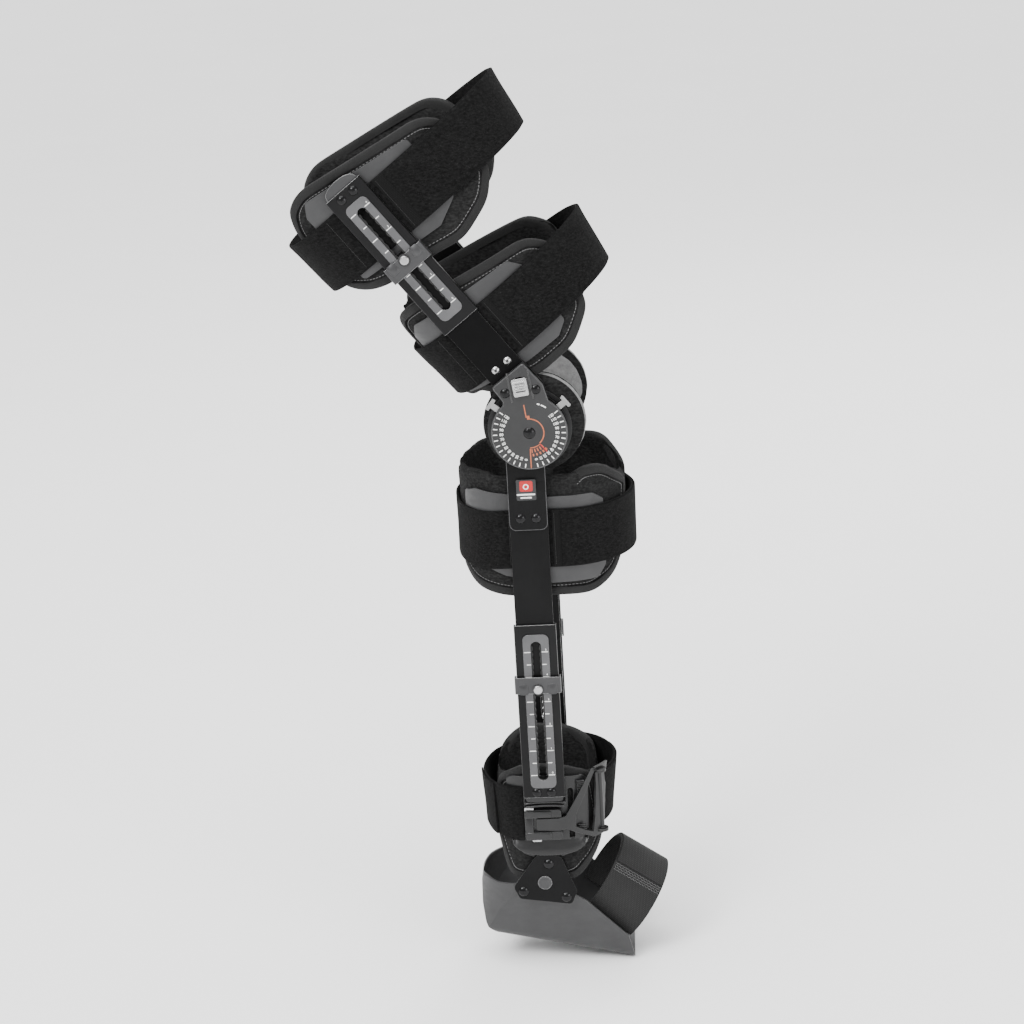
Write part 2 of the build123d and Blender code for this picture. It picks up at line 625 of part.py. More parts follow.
def buckle_tongue():
    """Toothed tongue that widens to a loop with a rod for the strap."""
    with BuildPart() as piece:
        add(cuff_side(ANKLE_SECTION, TONGUE, 1.5, (TONGUE_IN, TONGUE_OUT), ANKLE_STRAP_OUT))
        with BuildSketch(side_plane(0)):
            rounded_face(TONGUE_WINDOW, 1.0)
        extrude(amount=SIDE_REACH, mode=Mode.SUBTRACT)
        with BuildSketch(Plane.XY.offset(LOOP_Z[0])):
            with Locations((LOOP_X, LOOP_Y)):
                Circle(LOOP_ROD_R)
        extrude(amount=LOOP_Z[1] - LOOP_Z[0])
        for height in (LOOP_Z[0], LOOP_Z[1] - LOOP_EAR_LONG):
            with BuildSketch(Plane.XY.offset(height)):
                with Locations((LOOP_X, LOOP_Y)):
                    Circle(LOOP_EAR_R)
            extrude(amount=LOOP_EAR_LONG)
    return piece.part


# ---------------------------------------------------------------- foot
def foot_side_plane(level):
    return side_plane(level, -FOOT_PITCH, ANKLE_X, ANKLE_Z)


def foot_body(inset):
    """Solid heel shape, rounded at the back, with flaring sides; inset is the wall's."""
    sole = SOLE + inset
    rise = FOOT_TOP - SOLE
    flare = (FOOT_TOP_HALF - FOOT_SOLE_HALF) / rise
    top = FOOT_TOP + (0 if inset == 0 else 20)
    top_half = FOOT_SOLE_HALF + flare * (top - SOLE) - inset
    sole_half = FOOT_SOLE_HALF + flare * inset - inset
    back, front, reach = FOOT_PLAN
    corner = FOOT_SOLE_CORNER - inset
    section = ((-sole_half, sole), (sole_half, sole), (top_half, top), (-top_half, top))
    foot = foot_side_plane(0)
    across = Plane(origin=foot.origin, x_dir=(0, 1, 0), z_dir=foot.x_dir)
    above = Plane(origin=foot.origin, x_dir=foot.x_dir, z_dir=foot.y_dir)
    with BuildPart() as piece:
        with BuildSketch(across.offset(back)):
            rounded_face(section, (corner, corner, 0, 0))
        extrude(amount=front - back)
        with BuildSketch(above.offset(SOLE)):
            with BuildLine() as plan:
                wide = FOOT_TOP_HALF + FOOT_PLAN_MARGIN - inset
                start = back + reach
                EllipticalCenterArc((start, 0), reach - inset, wide, 90, arc_size=180)
                Line((start, -wide), (front, -wide))
                Line((front, -wide), (front, wide))
                Line((front, wide), (start, wide))
            make_face(plan.edges())
        extrude(amount=2 * SIDE_REACH, mode=Mode.INTERSECT)
    return piece.part


def foot_shell():
    """Thin heel shell: open in front and on top, with flaring side walls."""
    with BuildPart() as piece:
        add(foot_body(0))
        with BuildSketch(foot_side_plane(-SIDE_REACH)):
            rounded_face(FOOT_SIDE, FOOT_SIDE_CORNERS)
        extrude(amount=2 * SIDE_REACH, mode=Mode.INTERSECT)
        add(foot_body(FOOT_WALL), mode=Mode.SUBTRACT)
    return piece.part


def ankle_bracket():
    """Rounded triangle from the ankle pivot to the heel shell's side wall."""
    with BuildPart() as piece:
        with BuildSketch(side_plane(BRACKET_IN)):
            rounded_face(BRACKET, BRACKET_CORNERS)
            with Locations((ANKLE_X, ANKLE_Z)):
                Circle(PIVOT_R + PIVOT_CLEAR, mode=Mode.SUBTRACT)
            with Locations(*BRACKET_HOLES):
                Circle(RIVET_STEM_R, mode=Mode.SUBTRACT)
        extrude(amount=BRACKET_OUT - BRACKET_IN)
    return piece.part


def instep_strap():
    """Band over the instep between the heel shell's side walls."""
    along = side_plane(0, -FOOT_PITCH - INSTEP_TILT, ANKLE_X, ANKLE_Z)
    across = Plane(origin=along.origin, x_dir=(0, 1, 0), z_dir=along.x_dir)
    outer = (INSTEP_HALF_WIDTH, INSTEP_HEIGHT)
    inner = (INSTEP_HALF_WIDTH - INSTEP_THICK, INSTEP_HEIGHT - INSTEP_THICK)
    with BuildPart() as piece:
        with BuildSketch(across.offset(INSTEP_STRAP[0])):
            with Locations((0, INSTEP_CENTRE)):
                Ellipse(*outer)
                Ellipse(*inner, mode=Mode.SUBTRACT)
            with Locations((0, INSTEP_END + SIDE_REACH / 2)):
                Rectangle(SIDE_REACH, SIDE_REACH, mode=Mode.INTERSECT)
        extrude(amount=INSTEP_STRAP[1] - INSTEP_STRAP[0])
    return piece.part


# ---------------------------------------------------------------- build: shank
save_sides(hinge_arm(), "hinge_arm")
save_sides(flat_bar(SHANK_BAR, SHANK_BAR_X, SHANK_PIN, ARM_RIVETS, RIVET_STEM_R), "shank_bar")
save_pair(black_rivets(ARM_RIVETS, (BAR_LEVEL - 0.2, ARM_FACE)), "shank_bar_rivets")
save_cuff("calf", CALF_SECTION, CALF_PAD, CALF_SHELL, CALF_STRAP, 0.0, True)
save_pair(clamp_band(SHANK_PIN, -1, SHANK_BAR_X), "shank_clamp_bands")
save_sides(clamp_pin(SHANK_PIN, SHANK_BAR_X), "shank_clamp_pin")

# ---------------------------------------------------------------- build: thigh
thigh_bar = flat_bar(THIGH_BAR, THIGH_BAR_T, THIGH_PIN, BAR_SCREWS, BAR_SCREW_STEM_R, THIGH_LEAN)
save_sides(thigh_bar, "thigh_bar")
save_sides(hinge_cover(), "hinge_cover")
save_pair(hinge_back_plate(), "hinge_back_plates")
pivot = dome_rivets(((0, 0),), PIVOT_HEAD_R, PIVOT_R, PIVOT_DOME, (BACK_IN, COVER_OUT))
save_pair(pivot, "hinge_pivot_rivets")
save_pair(black_rivets(COVER_SCREWS, (BACK_IN, COVER_OUT)), "hinge_cover_screws")
screw_levels = (BAR_LEVEL, BAR_LEVEL + BAR_THICK)
bar_screws = dome_rivets(BAR_SCREWS, BAR_SCREW_R, BAR_SCREW_STEM_R, BAR_SCREW_DOME, screw_levels, THIGH_LEAN)
save_pair(bar_screws, "thigh_bar_screws")
save_sides(condyle_pad(), "condyle_pad")
save_pair(condyle_disc(), "condyle_discs")
save_cuff("lower_thigh", LOWER_SECTION, LOWER_PAD, LOWER_SHELL, LOWER_STRAP, THIGH_LEAN, True)
save_pair(clamp_band(THIGH_PIN, 1, THIGH_BAR_T, THIGH_LEAN), "thigh_clamp_bands")
save_sides(clamp_pin(THIGH_PIN, THIGH_BAR_T, THIGH_LEAN), "thigh_clamp_pin")
save_sides(lock_slider(), "lock_slider")
save_sides(stop_tab(STOP_ANGLE), "extension_stop")
save_sides(stop_tab(-STOP_ANGLE), "flexion_stop")

# ---------------------------------------------------------------- build: upper cuff
save_sides(channel(THIGH_CHANNEL, THIGH_BAR_T, THIGH_SLOT, THIGH_RIVETS, THIGH_LEAN), "thigh_channel")
save_pair(scale_plate(THIGH_PLATE, THIGH_BAR_T, THIGH_SLOT, THIGH_LEAN), "thigh_scale_plates")
save_pair(black_rivets(THIGH_RIVETS, (SHELL_OUT + SKIN, CHANNEL_OUT), THIGH_LEAN), "thigh_channel_rivets")
save_cuff("upper_thigh", UPPER_SECTION, UPPER_PAD, UPPER_SHELL, UPPER_STRAP, THIGH_LEAN, False)

# ---------------------------------------------------------------- build: ankle section
save_sides(channel(SHANK_CHANNEL, SHANK_BAR_X, SHANK_SLOT, SHANK_RIVETS), "shank_channel")
save_pair(scale_plate(SHANK_PLATE, SHANK_BAR_X, SHANK_SLOT), "shank_scale_plates")
save_pair(black_rivets(SHANK_RIVETS, (ANKLE_OUT, CHANNEL_OUT)), "shank_channel_rivets")
save_sides(ankle_plate(), "ankle_plate")
save_sides(ankle_pad(), "ankle_pad")
save(ankle_straps(), "ankle_straps")
save(buckle_receiver(), "buckle_receiver")
save(buckle_tongue(), "buckle_tongue")
pivot_levels = (ANKLE_OUT - ANKLE_PLATE_THICK, BRACKET_OUT + 0.2)
ankle_pivot = dome_rivets(((ANKLE_X, ANKLE_Z),), BRACKET_HEAD_R, RIVET_STEM_R, PIVOT_DOME, pivot_levels)
save_pair(ankle_pivot, "ankle_pivot_rivets")

# ---------------------------------------------------------------- build: foot
save(foot_shell(), "foot_shell")
save_pair(ankle_bracket(), "ankle_brackets")
bracket_levels = (BRACKET_IN, BRACKET_OUT)
bracket_rivets = dome_rivets(BRACKET_HOLES, BRACKET_HEAD_R, RIVET_STEM_R, PIVOT_DOME, bracket_levels)
save_pair(bracket_rivets, "bracket_rivets")
save(instep_strap(), "instep_strap")
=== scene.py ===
"""Looks of the post-operative knee brace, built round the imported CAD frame. Metres."""
import json
from math import cos, pi, radians, sin, sqrt

import bmesh
import bpy
from mathutils import Matrix, Vector, noise
from mathutils.bvhtree import BVHTree


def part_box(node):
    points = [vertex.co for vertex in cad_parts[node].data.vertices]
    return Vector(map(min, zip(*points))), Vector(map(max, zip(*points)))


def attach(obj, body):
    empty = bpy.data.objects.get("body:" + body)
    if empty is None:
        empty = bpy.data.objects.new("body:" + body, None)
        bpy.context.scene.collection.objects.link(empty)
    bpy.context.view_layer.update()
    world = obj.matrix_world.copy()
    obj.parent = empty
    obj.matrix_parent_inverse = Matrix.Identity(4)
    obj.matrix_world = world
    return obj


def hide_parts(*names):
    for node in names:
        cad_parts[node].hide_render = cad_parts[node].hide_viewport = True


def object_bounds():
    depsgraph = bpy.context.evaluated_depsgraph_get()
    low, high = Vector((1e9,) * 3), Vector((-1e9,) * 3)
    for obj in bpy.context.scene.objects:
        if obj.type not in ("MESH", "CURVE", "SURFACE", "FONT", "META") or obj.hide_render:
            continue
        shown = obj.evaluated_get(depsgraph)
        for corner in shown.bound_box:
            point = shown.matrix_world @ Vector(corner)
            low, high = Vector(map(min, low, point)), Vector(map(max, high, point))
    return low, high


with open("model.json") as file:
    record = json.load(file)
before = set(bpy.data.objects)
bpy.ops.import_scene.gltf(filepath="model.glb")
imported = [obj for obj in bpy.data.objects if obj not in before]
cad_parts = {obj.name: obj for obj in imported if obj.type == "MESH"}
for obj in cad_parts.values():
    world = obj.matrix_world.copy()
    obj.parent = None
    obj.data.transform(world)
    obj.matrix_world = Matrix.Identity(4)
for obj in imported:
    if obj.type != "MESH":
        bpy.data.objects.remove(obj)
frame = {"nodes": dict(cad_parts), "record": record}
cad_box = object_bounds()
MM = 0.001
LATERAL, MEDIAL = -1, 1
THIGH_LEAN = 38.0
FOOT_PITCH = 13.0


# ---------------------------------------------------------------- places from the frame
def low(node):
    return Vector(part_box(node)[0])


def high(node):
    return Vector(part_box(node)[1])


def middle(node):
    return (low(node) + high(node)) / 2


def limb(t, y, s, lean):
    """A point t forward, y medial and s up along a limb that leans back from the knee axis."""
    a = radians(lean)
    return Vector((t * cos(a) - s * sin(a), y, t * sin(a) + s * cos(a)))


COVER_FACE = -low("hinge_cover_lateral").y
PLATE_FACE = -low("shank_scale_plates").y
ARM_FACE = -low("hinge_arm_lateral").y
BLOCK_FACE = -low("ankle_plate_lateral").y
ANKLE_FACE = -high("buckle_receiver").y - 0.2 * MM
BRACKET_FACE = -low("ankle_brackets").y
SHANK_X = middle("shank_bar_lateral").x
STRAP_OUT = -low("calf_strap").y
SHELL_FACE = -low("calf_shells").y
STRAP_TOP = ANKLE_FACE + 2.4 * MM
ANKLE_PIVOT = middle("ankle_pivot_rivets")
ANKLE_PIVOT.y = 0
BODY_OF = {node: body for body, nodes in frame["record"]["behaviour"]["bodies"].items() for node in nodes}


# ---------------------------------------------------------------- materials
class Nodes:
    """A material's node tree, with short calls for the nodes that the finishes share."""

    def __init__(self, name):
        self.material = bpy.data.materials.new(name)
        self.material.use_nodes = True
        self.tree = self.material.node_tree
        self.shader = self.tree.nodes["Principled BSDF"]
        self.place = self.tree.nodes.new("ShaderNodeTexCoord").outputs["Object"]

    def add(self, kind, **sockets):
        node = self.tree.nodes.new(kind)
        for key, value in sockets.items():
            self.put(node.inputs[key.replace("_", " ")], value)
        return node

    def put(self, socket, value):
        if isinstance(value, bpy.types.NodeSocket):
            self.tree.links.new(value, socket)
        else:
            socket.default_value = value

    def set(self, **sockets):
        for key, value in sockets.items():
            self.put(self.shader.inputs[key.replace("_", " ")], value)

    def stretched(self, scale, lean=0.0):
        """Object coordinates turned with the limb and stretched."""
        turned = self.add("ShaderNodeMapping", Vector=self.place, Rotation=(0, radians(lean), 0), Scale=scale)
        return turned.outputs["Vector"]

    def noise(self, scale, detail=4.0, vector=None, roughness=0.6):
        node = self.add("ShaderNodeTexNoise", Scale=scale, Detail=detail, Roughness=roughness)
        self.put(node.inputs["Vector"], vector or self.place)
        return node.outputs["Fac"]

    def wave(self, scale, vector, axis="X", distortion=0.0):
        node = self.add("ShaderNodeTexWave", Vector=vector, Scale=scale, Distortion=distortion)
        node.bands_direction = axis
        return node.outputs["Fac"]

    def ramp(self, fac, stops):
        node = self.add("ShaderNodeValToRGB", Fac=fac)
        marks = node.color_ramp.elements
        while len(marks) < len(stops):
            marks.new(0.5)
        for mark, (place, colour) in zip(marks, stops):
            mark.position = place
            mark.color = colour if len(colour) == 4 else (*colour, 1)
        return node.outputs["Color"]

    def math(self, operation, a, b):
        node = self.add("ShaderNodeMath")
        node.operation = operation
        self.put(node.inputs[0], a)
        self.put(node.inputs[1], b)
        return node.outputs[0]

    def mix(self, fac, a, b):
        node = self.tree.nodes.new("ShaderNodeMix")
        node.data_type = "RGBA"
        self.put(node.inputs[0], fac)
        self.put(node.inputs[6], a if isinstance(a, bpy.types.NodeSocket) else (*a, 1))
        self.put(node.inputs[7], b if isinstance(b, bpy.types.NodeSocket) else (*b, 1))
        return node.outputs[2]

    def bump(self, height, strength, distance, normal=None):
        node = self.add("ShaderNodeBump", Height=height, Strength=strength, Distance=distance)
        if normal:
            self.put(node.inputs["Normal"], normal)
        return node.outputs["Normal"]

    def worn_edge(self, radius):
        """Rounded shading normal, and a mask that is 1 on sharp edges, where a highlight is painted into the
        colour.
        """
        bevel = self.add("ShaderNodeBevel", Radius=radius)
        bevel.samples = 6
        dot = self.tree.nodes.new("ShaderNodeVectorMath")
        dot.operation = "DOT_PRODUCT"
        geometry = self.tree.nodes.new("ShaderNodeNewGeometry")
        self.put(dot.inputs[0], bevel.outputs["Normal"])
        self.put(dot.inputs[1], geometry.outputs["Normal"])
        mask = self.ramp(dot.outputs["Value"], [(0.80, (1, 1, 1)), (0.97, (0, 0, 0))])
        return bevel.outputs["Normal"], mask


def grey(level, tint=0.0):
    return (level, level, level * (1 + tint))


def coated_metal(name, level, roughness, highlight_level, edge=0.5, lean=0.0, metallic=0.6, gloss=0.3):
    """Powder-coated or anodised metal: fine grain along the bar and a painted highlight on sharp edges,
    broken up by noise.
    """
    m = Nodes(name)
    grain = m.noise(900, 3, m.stretched((1, 1, 0.06), lean))
    clouds = m.noise(22, 5)
    normal, mask = m.worn_edge(edge * MM)
    base = m.ramp(clouds, [(0.3, grey(level * 0.8, 0.03)), (0.75, grey(level * 1.25, 0.03))])
    # painted highlight: the edge mask, broken up by noise, lightens the colour on sharp edges
    painted_edge_highlight = m.math("MULTIPLY", mask, m.ramp(m.noise(160, 4), [(0.3, grey(0.55)), (0.6, grey(1.0))]))
    m.set(Base_Color=m.mix(painted_edge_highlight, base, grey(highlight_level)), Metallic=metallic)
    m.set(Specular_IOR_Level=gloss)
    m.set(Roughness=m.ramp(grain, [(0.2, grey(roughness * 0.8)), (0.8, grey(roughness * 1.2))]))
    m.set(Normal=m.bump(grain, 0.12, 0.0002, normal))
    return m.material


def moulded_plastic(name, level, roughness, highlight_level, texture=1500, bump=0.12, colour=None):
    """Moulded plastic with a fine sparked texture and a soft painted highlight on sharp edges."""
    m = Nodes(name)
    fine = m.noise(texture, 2)
    clouds = m.noise(35, 5)
    normal, mask = m.worn_edge(0.6 * MM)
    tone = colour or grey(level, 0.03)
    dark, light = tuple(c * 0.85 for c in tone), tuple(c * 1.18 for c in tone)
    base = m.ramp(clouds, [(0.3, dark), (0.7, light)])
    # painted highlight: the edge mask lightens the colour on sharp edges
    m.set(Base_Color=m.mix(m.math("MULTIPLY", mask, 0.6), base, grey(highlight_level)))
    scuffs = m.noise(90, 6, m.stretched((1, 1, 3)))
    m.set(Roughness=m.ramp(scuffs, [(0.35, grey(roughness * 0.85)), (0.65, grey(roughness * 1.15))]))
    m.set(Specular_IOR_Level=0.35)
    m.set(Normal=m.bump(fine, bump, 0.0003, normal))
    return m.material


def bright_metal(name, level, roughness):
    """Polished or brushed steel with fine scratches and a near-white painted highlight on sharp edges."""
    m = Nodes(name)
    lines = m.noise(1400, 3, m.stretched((1, 1, 0.05), 8))
    normal, mask = m.worn_edge(0.35 * MM)
    base = m.ramp(m.noise(60, 4), [(0.3, grey(level * 0.85)), (0.7, grey(level * 1.05))])
    # painted highlight: near-white colour on sharp edges
    m.set(Base_Color=m.mix(mask, base, grey(0.95)), Metallic=1.0)
    m.set(Roughness=m.ramp(lines, [(0.2, grey(roughness * 0.7)), (0.8, grey(roughness * 1.3))]))
    m.set(Normal=m.bump(lines, 0.1, 0.0001, normal))
    return m.material


def brushed_loop(name, level, fleck, lean=0.0):
    """Brushed loop fabric: short matted pile with pale flecks and a faint lengthwise lay."""
    m = Nodes(name)
    pile = m.noise(2600, 3, roughness=0.7)
    lay = m.noise(330, 5, m.stretched((1, 1, 2.0), lean))
    patches = m.noise(30, 4)
    specks = m.ramp(m.noise(1700, 2), [(0.62, (0, 0, 0)), (0.72, (1, 1, 1))])
    base = m.ramp(patches, [(0.3, grey(level * 0.7)), (0.75, grey(level * 1.35))])
    shaded = m.mix(m.ramp(lay, [(0.38, grey(0.0)), (0.68, grey(0.75))]), base, grey(level * 3.6))
    m.set(Base_Color=m.mix(m.math("MULTIPLY", specks, 0.5), shaded, grey(fleck)))
    m.set(Roughness=0.95, Sheen_Weight=0.012, Sheen_Roughness=0.6)
    m.set(Specular_IOR_Level=0.04)
    height = m.math("ADD", pile, m.math("MULTIPLY", lay, 0.8))
    m.set(Normal=m.bump(height, 0.75, 0.0006))
    return m.material


def knit(name, level, light, pitch=1.0, sheen=0.12):
    """Fine rib knit over foam."""
    m = Nodes(name)
    across = m.wave(620 / pitch, m.place, "DIAGONAL", 0.6)
    along = m.wave(540 / pitch, m.stretched((1, 1, -1)), "DIAGONAL", 0.6)
    loops = m.math("MULTIPLY", across, along)
    fuzz = m.noise(2200, 3)
    patches = m.noise(40, 5)
    base = m.ramp(patches, [(0.3, grey(level * 0.8)), (0.7, grey(level * 1.2))])
    m.set(Base_Color=m.mix(m.math("MULTIPLY", loops, 0.7), base, grey(light)))
    m.set(Roughness=0.92, Sheen_Weight=sheen, Sheen_Roughness=0.5)
    m.set(Specular_IOR_Level=0.1)
    m.set(Normal=m.bump(m.math("ADD", loops, m.math("MULTIPLY", fuzz, 0.7)), 0.6, 0.0005))
    return m.material


def webbing(name, level, light, lean=0.0):
    """Flat woven webbing: fine cross ribs with a twill line."""
    m = Nodes(name)
    ribs = m.wave(230, m.stretched((1, 1, 1), lean), "X", 0.4)
    twill = m.wave(300, m.stretched((1, 0.6, 1), lean), "DIAGONAL", 0.3)
    weave = m.math("MULTIPLY", ribs, twill)
    fuzz = m.noise(1900, 3)
    base = m.ramp(m.noise(35, 5), [(0.3, grey(level * 0.85)), (0.7, grey(level * 1.2))])
    m.set(Base_Color=m.mix(weave, base, grey(light)))
    m.set(Roughness=0.85, Sheen_Weight=0.03, Sheen_Roughness=0.4)
    m.set(Specular_IOR_Level=0.12)
    m.set(Normal=m.bump(m.math("ADD", weave, m.math("MULTIPLY", fuzz, 0.5)), 0.5, 0.0004))
    return m.material


def foam(name, level):
    """Open-cell foam edge."""
    m = Nodes(name)
    cells = m.add("ShaderNodeTexVoronoi", Vector=m.place, Scale=900.0).outputs["Distance"]
    base = m.ramp(m.noise(300, 5), [(0.3, grey(level * 0.75)), (0.7, grey(level * 1.15))])
    m.set(Base_Color=m.mix(m.ramp(cells, [(0.0, grey(0.45)), (0.3, grey(0.0))]), base, grey(level * 0.4)))
    m.set(Roughness=0.95)
    m.set(Normal=m.bump(cells, 0.6, 0.0006))
    return m.material


def print_ink(name, colour, roughness=0.55):
    """Printed ink with slightly uneven coverage."""
    m = Nodes(name)
    worn = tuple(c * 0.78 for c in colour)
    m.set(Base_Color=m.ramp(m.noise(700, 4), [(0.35, worn), (0.6, colour)]), Roughness=roughness)
    m.set(Normal=m.bump(m.noise(1500, 2), 0.08, 0.0001))
    return m.material


def thread(name, level):
    """Twisted sewing thread."""
    m = Nodes(name)
    twist = m.wave(1500, m.place, "DIAGONAL", 1.0)
    m.set(Base_Color=m.mix(twist, grey(level * 0.6), grey(level * 1.2)), Roughness=0.7)
    m.set(Normal=m.bump(twist, 0.5, 0.0002))
    return m.material


MATERIAL = {
    "bar": coated_metal("bar_black_coat", 0.004, 0.5, 0.10, gloss=0.12),
    "arm": coated_metal("arm_black_coat", 0.007, 0.52, 0.08, gloss=0.2),
    "channel": coated_metal("channel_grey_satin", 0.0105, 0.36, 0.5, 0.8, gloss=0.2),
    "plate": coated_metal("plate_silver_satin", 0.10, 0.42, 0.35, 0.25, 0.0, 0.7),
    "clamp": coated_metal("clamp_grey_satin", 0.048, 0.34, 0.45, 0.7, 0.0, 0.5),
    "steel": bright_metal("steel_polished", 0.42, 0.26),
    "steel_dull": bright_metal("steel_satin", 0.30, 0.36),
    # painted highlight, for the bright lines along outer edges
    "edge_line": coated_metal("edge_painted_highlight", 0.075, 0.35, 0.3, 0.2, gloss=0.4),
    "rivet": coated_metal("rivet_gloss_black", 0.016, 0.14, 0.06, 0.3, 0.0, 0.8),
    "cover": moulded_plastic("cover_dark_grey", 0.017, 0.4, 0.30, 1300, 0.12),
    "dark_plastic": moulded_plastic("moulded_black", 0.008, 0.45, 0.05),
    "ankle": moulded_plastic("ankle_charcoal", 0.010, 0.34, 0.10),
    "shell": moulded_plastic("shell_grey", 0.029, 0.46, 0.10, 900, 0.2),
    "foot": moulded_plastic("heel_grey", 0.030, 0.46, 0.10, 1100, 0.15),
    "strap": brushed_loop("strap_brushed_loop", 0.0034, 0.05, THIGH_LEAN),
    "strap_low": brushed_loop("strap_low_brushed_loop", 0.0034, 0.05),
    "tab": webbing("tab_smooth_hook", 0.0025, 0.008),
    "pad": brushed_loop("pad_brushed_knit", 0.0075, 0.05),
    "binding": knit("binding_rib_knit", 0.014, 0.035, 0.8, 0.05),
    "pad_edge": foam("foam_light_grey", 0.17),
    "webbing": webbing("webbing_dark_grey", 0.015, 0.034),
    "thread_light": thread("thread_light_grey", 0.13),
    "thread_dark": thread("thread_dark_grey", 0.012),
    "white_ink": print_ink("ink_white", (0.82, 0.82, 0.8)),
    "orange_ink": print_ink("ink_orange", (0.40, 0.105, 0.04)),
    "red_ink": print_ink("ink_red", (0.42, 0.003, 0.004), 0.35),
    # black ink for the arm label, and also for painted shade in grooves, the screw recesses and round the
    # clamp pins
    "label": print_ink("black_label_and_painted_shade", (0.008, 0.008, 0.009), 0.3),
}

NODE_FINISH = (
    ("scale_plates", "plate"), ("channel_rivets", "rivet"), ("bar_rivets", "rivet"),
    ("pivot_rivets", "rivet"),
    ("cover_screws", "rivet"), ("bracket_rivets", "rivet"), ("channel", "channel"), ("clamp_bands", "clamp"),
    ("clamp_pin", "steel"), ("bar_screws", "steel"), ("lock_slider", "steel"), ("_stop_", "steel_dull"),
    ("shank_bar_", "arm"), ("hinge_cover", "cover"), ("condyle_discs", "dark_plastic"),
    ("back_plates", "bar"), ("hinge_arm", "arm"),
    ("_bar_", "bar"), ("ankle_brackets", "arm"), ("ankle_plate", "ankle"), ("buckle", "ankle"),
    ("foot_shell", "foot"), ("shells", "shell"), ("condyle_pad", "pad_edge"), ("pad", "pad"),
    ("strap", "strap"),
)


def finish_nodes():
    for name, node in frame["nodes"].items():
        finish = next(value for key, value in NODE_FINISH if key in name)
        for slot in node.material_slots:
            slot.material = MATERIAL[finish]


# ---------------------------------------------------------------- mesh building
def piece(name, verts, faces, body, finish, slot, flat_angle=35.0):
    mesh = bpy.data.meshes.new(name)
    mesh.from_pydata([tuple(v) for v in verts], [], faces)
    mesh.validate()
    made = bpy.data.objects.new(name, mesh)
    bpy.context.collection.objects.link(made)
    fix = bmesh.new()
    fix.from_mesh(mesh)
    bmesh.ops.recalc_face_normals(fix, faces=fix.faces)
    fix.to_mesh(mesh)
    fix.free()
    return dress(made, body, finish, slot, flat_angle)


def dress(made, body, finish, slot, flat_angle=35.0):
    made.data.materials.clear()
    made.data.materials.append(MATERIAL[finish])
    made.data.shade_smooth()
    made.data.set_sharp_from_angle(angle=radians(flat_angle))
    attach(made, body)
    return made


def mirrored(source, name, body, finish, slot, flat_angle=35.0):
    """The medial copy of a lateral piece."""
    verts = [(v.co.x, -v.co.y, v.co.z) for v in source.data.vertices]
    faces = [tuple(reversed(p.vertices)) for p in source.data.polygons]
    return piece(name, verts, faces, body, finish, slot, flat_angle)


def medial_body(body):
    return body.replace("lateral", "medial")


def both_sides(name, verts, faces, body, finish, slot, flat_angle=35.0):
    first = piece(f"{name}_lateral", verts, faces, body, finish, slot, flat_angle)
    second = mirrored(first, f"{name}_medial", medial_body(body), finish, slot, flat_angle)
    return first, second


def sweep_mesh(rings, closed):
    """Verts and faces of a tube through rings of equal length; an open tube gets end caps."""
    count, size = len(rings), len(rings[0])
    verts = [v for ring in rings for v in ring]
    faces = []
    for i in range(count if closed else count - 1):
        for j in range(size):
            a, b = i * size + j, i * size + (j + 1) % size
            c, d = ((i + 1) % count) * size + (j + 1) % size, ((i + 1) % count) * size + j
            faces.append((a, b, c, d))
    if not closed:
        faces.append(tuple(range(size)))
        faces.append(tuple(reversed(range((count - 1) * size, count * size))))
    return verts, faces


def slab_mesh(outline, place, inner, outer):
    """A flat piece on a side face: outline of (a, b) pairs, place(a, b, level), with a small bevel."""
    rim = min(0.35 * MM, (outer - inner) * 0.4)
    ring = []
    size = len(outline)
    centre = Vector((sum(p[0] for p in outline) / size, sum(p[1] for p in outline) / size))
    for level, shrink in ((inner, 0), (outer - rim, 0), (outer, rim)):
        for a, b in outline:
            spot = Vector((a, b))
            away = centre - spot
            if away.length > 0:
                spot += away.normalized() * shrink
            ring.append(place(spot.x, spot.y, level))
    faces = [tuple(range(size)), tuple(range(2 * size, 3 * size))]
    for k in (0, 1):
        for i in range(size):
            j = (i + 1) % size
            faces.append((k * size + i, k * size + j, (k + 1) * size + j, (k + 1) * size + i))
    return ring, faces


def join_meshes(parts):
    verts, faces = [], []
    for more_verts, more_faces in parts:
        start = len(verts)
        verts += more_verts
        faces += [tuple(i + start for i in face) for face in more_faces]
    return verts, faces


def box_outline(a0, b0, a1, b1, radius=0.0, steps=5):
    """Rounded rectangle outline; takes millimetres and gives metres."""
    if radius <= 0:
        return [(a0 * MM, b0 * MM), (a1 * MM, b0 * MM), (a1 * MM, b1 * MM), (a0 * MM, b1 * MM)]
    corners = ((a1 - radius, b1 - radius, 0), (a0 + radius, b1 - radius, 90),
               (a0 + radius, b0 + radius, 180), (a1 - radius, b0 + radius, 270))
    outline = []
    for a, b, start in corners:
        for k in range(steps + 1):
            turn = radians(start + 90 * k / steps)
            outline.append(((a + radius * cos(turn)) * MM, (b + radius * sin(turn)) * MM))
    return outline


def band_mesh(radius, width, start, end, place, inner, outer, steps=40):
    """Raised arc band as quads, so that its concave outline stays clean."""
    rings = []
    for k in range(steps + 1):
        a = radians(start + (end - start) * k / steps)
        r0, r1 = radius - width / 2, radius + width / 2
        rings.append([place(r * sin(a), -r * cos(a), level)
                      for r, level in ((r0, inner), (r1, inner), (r1, outer), (r0, outer))])
    return sweep_mesh(rings, False)


def side_place(lean=0.0, origin=Vector((0, 0, 0))):
    """Returns place(a, b, level) for a lateral side face of a limb."""
    def place(a, b, level):
        return limb(a, 0, b, lean) + origin + Vector((0, -level, 0))
    return place


# ---------------------------------------------------------------- limb sections and straps
UPPER_SECTION = (54.0, -6.0, 109.0, 54.0)
LOWER_SECTION = (44.0, 2.0, 98.0, 40.0)
CALF_SECTION = (24.0, -32.0, 61.0, 39.0)
ANKLE_SECTION = (12.0, -22.0, 43.0, 39.0)


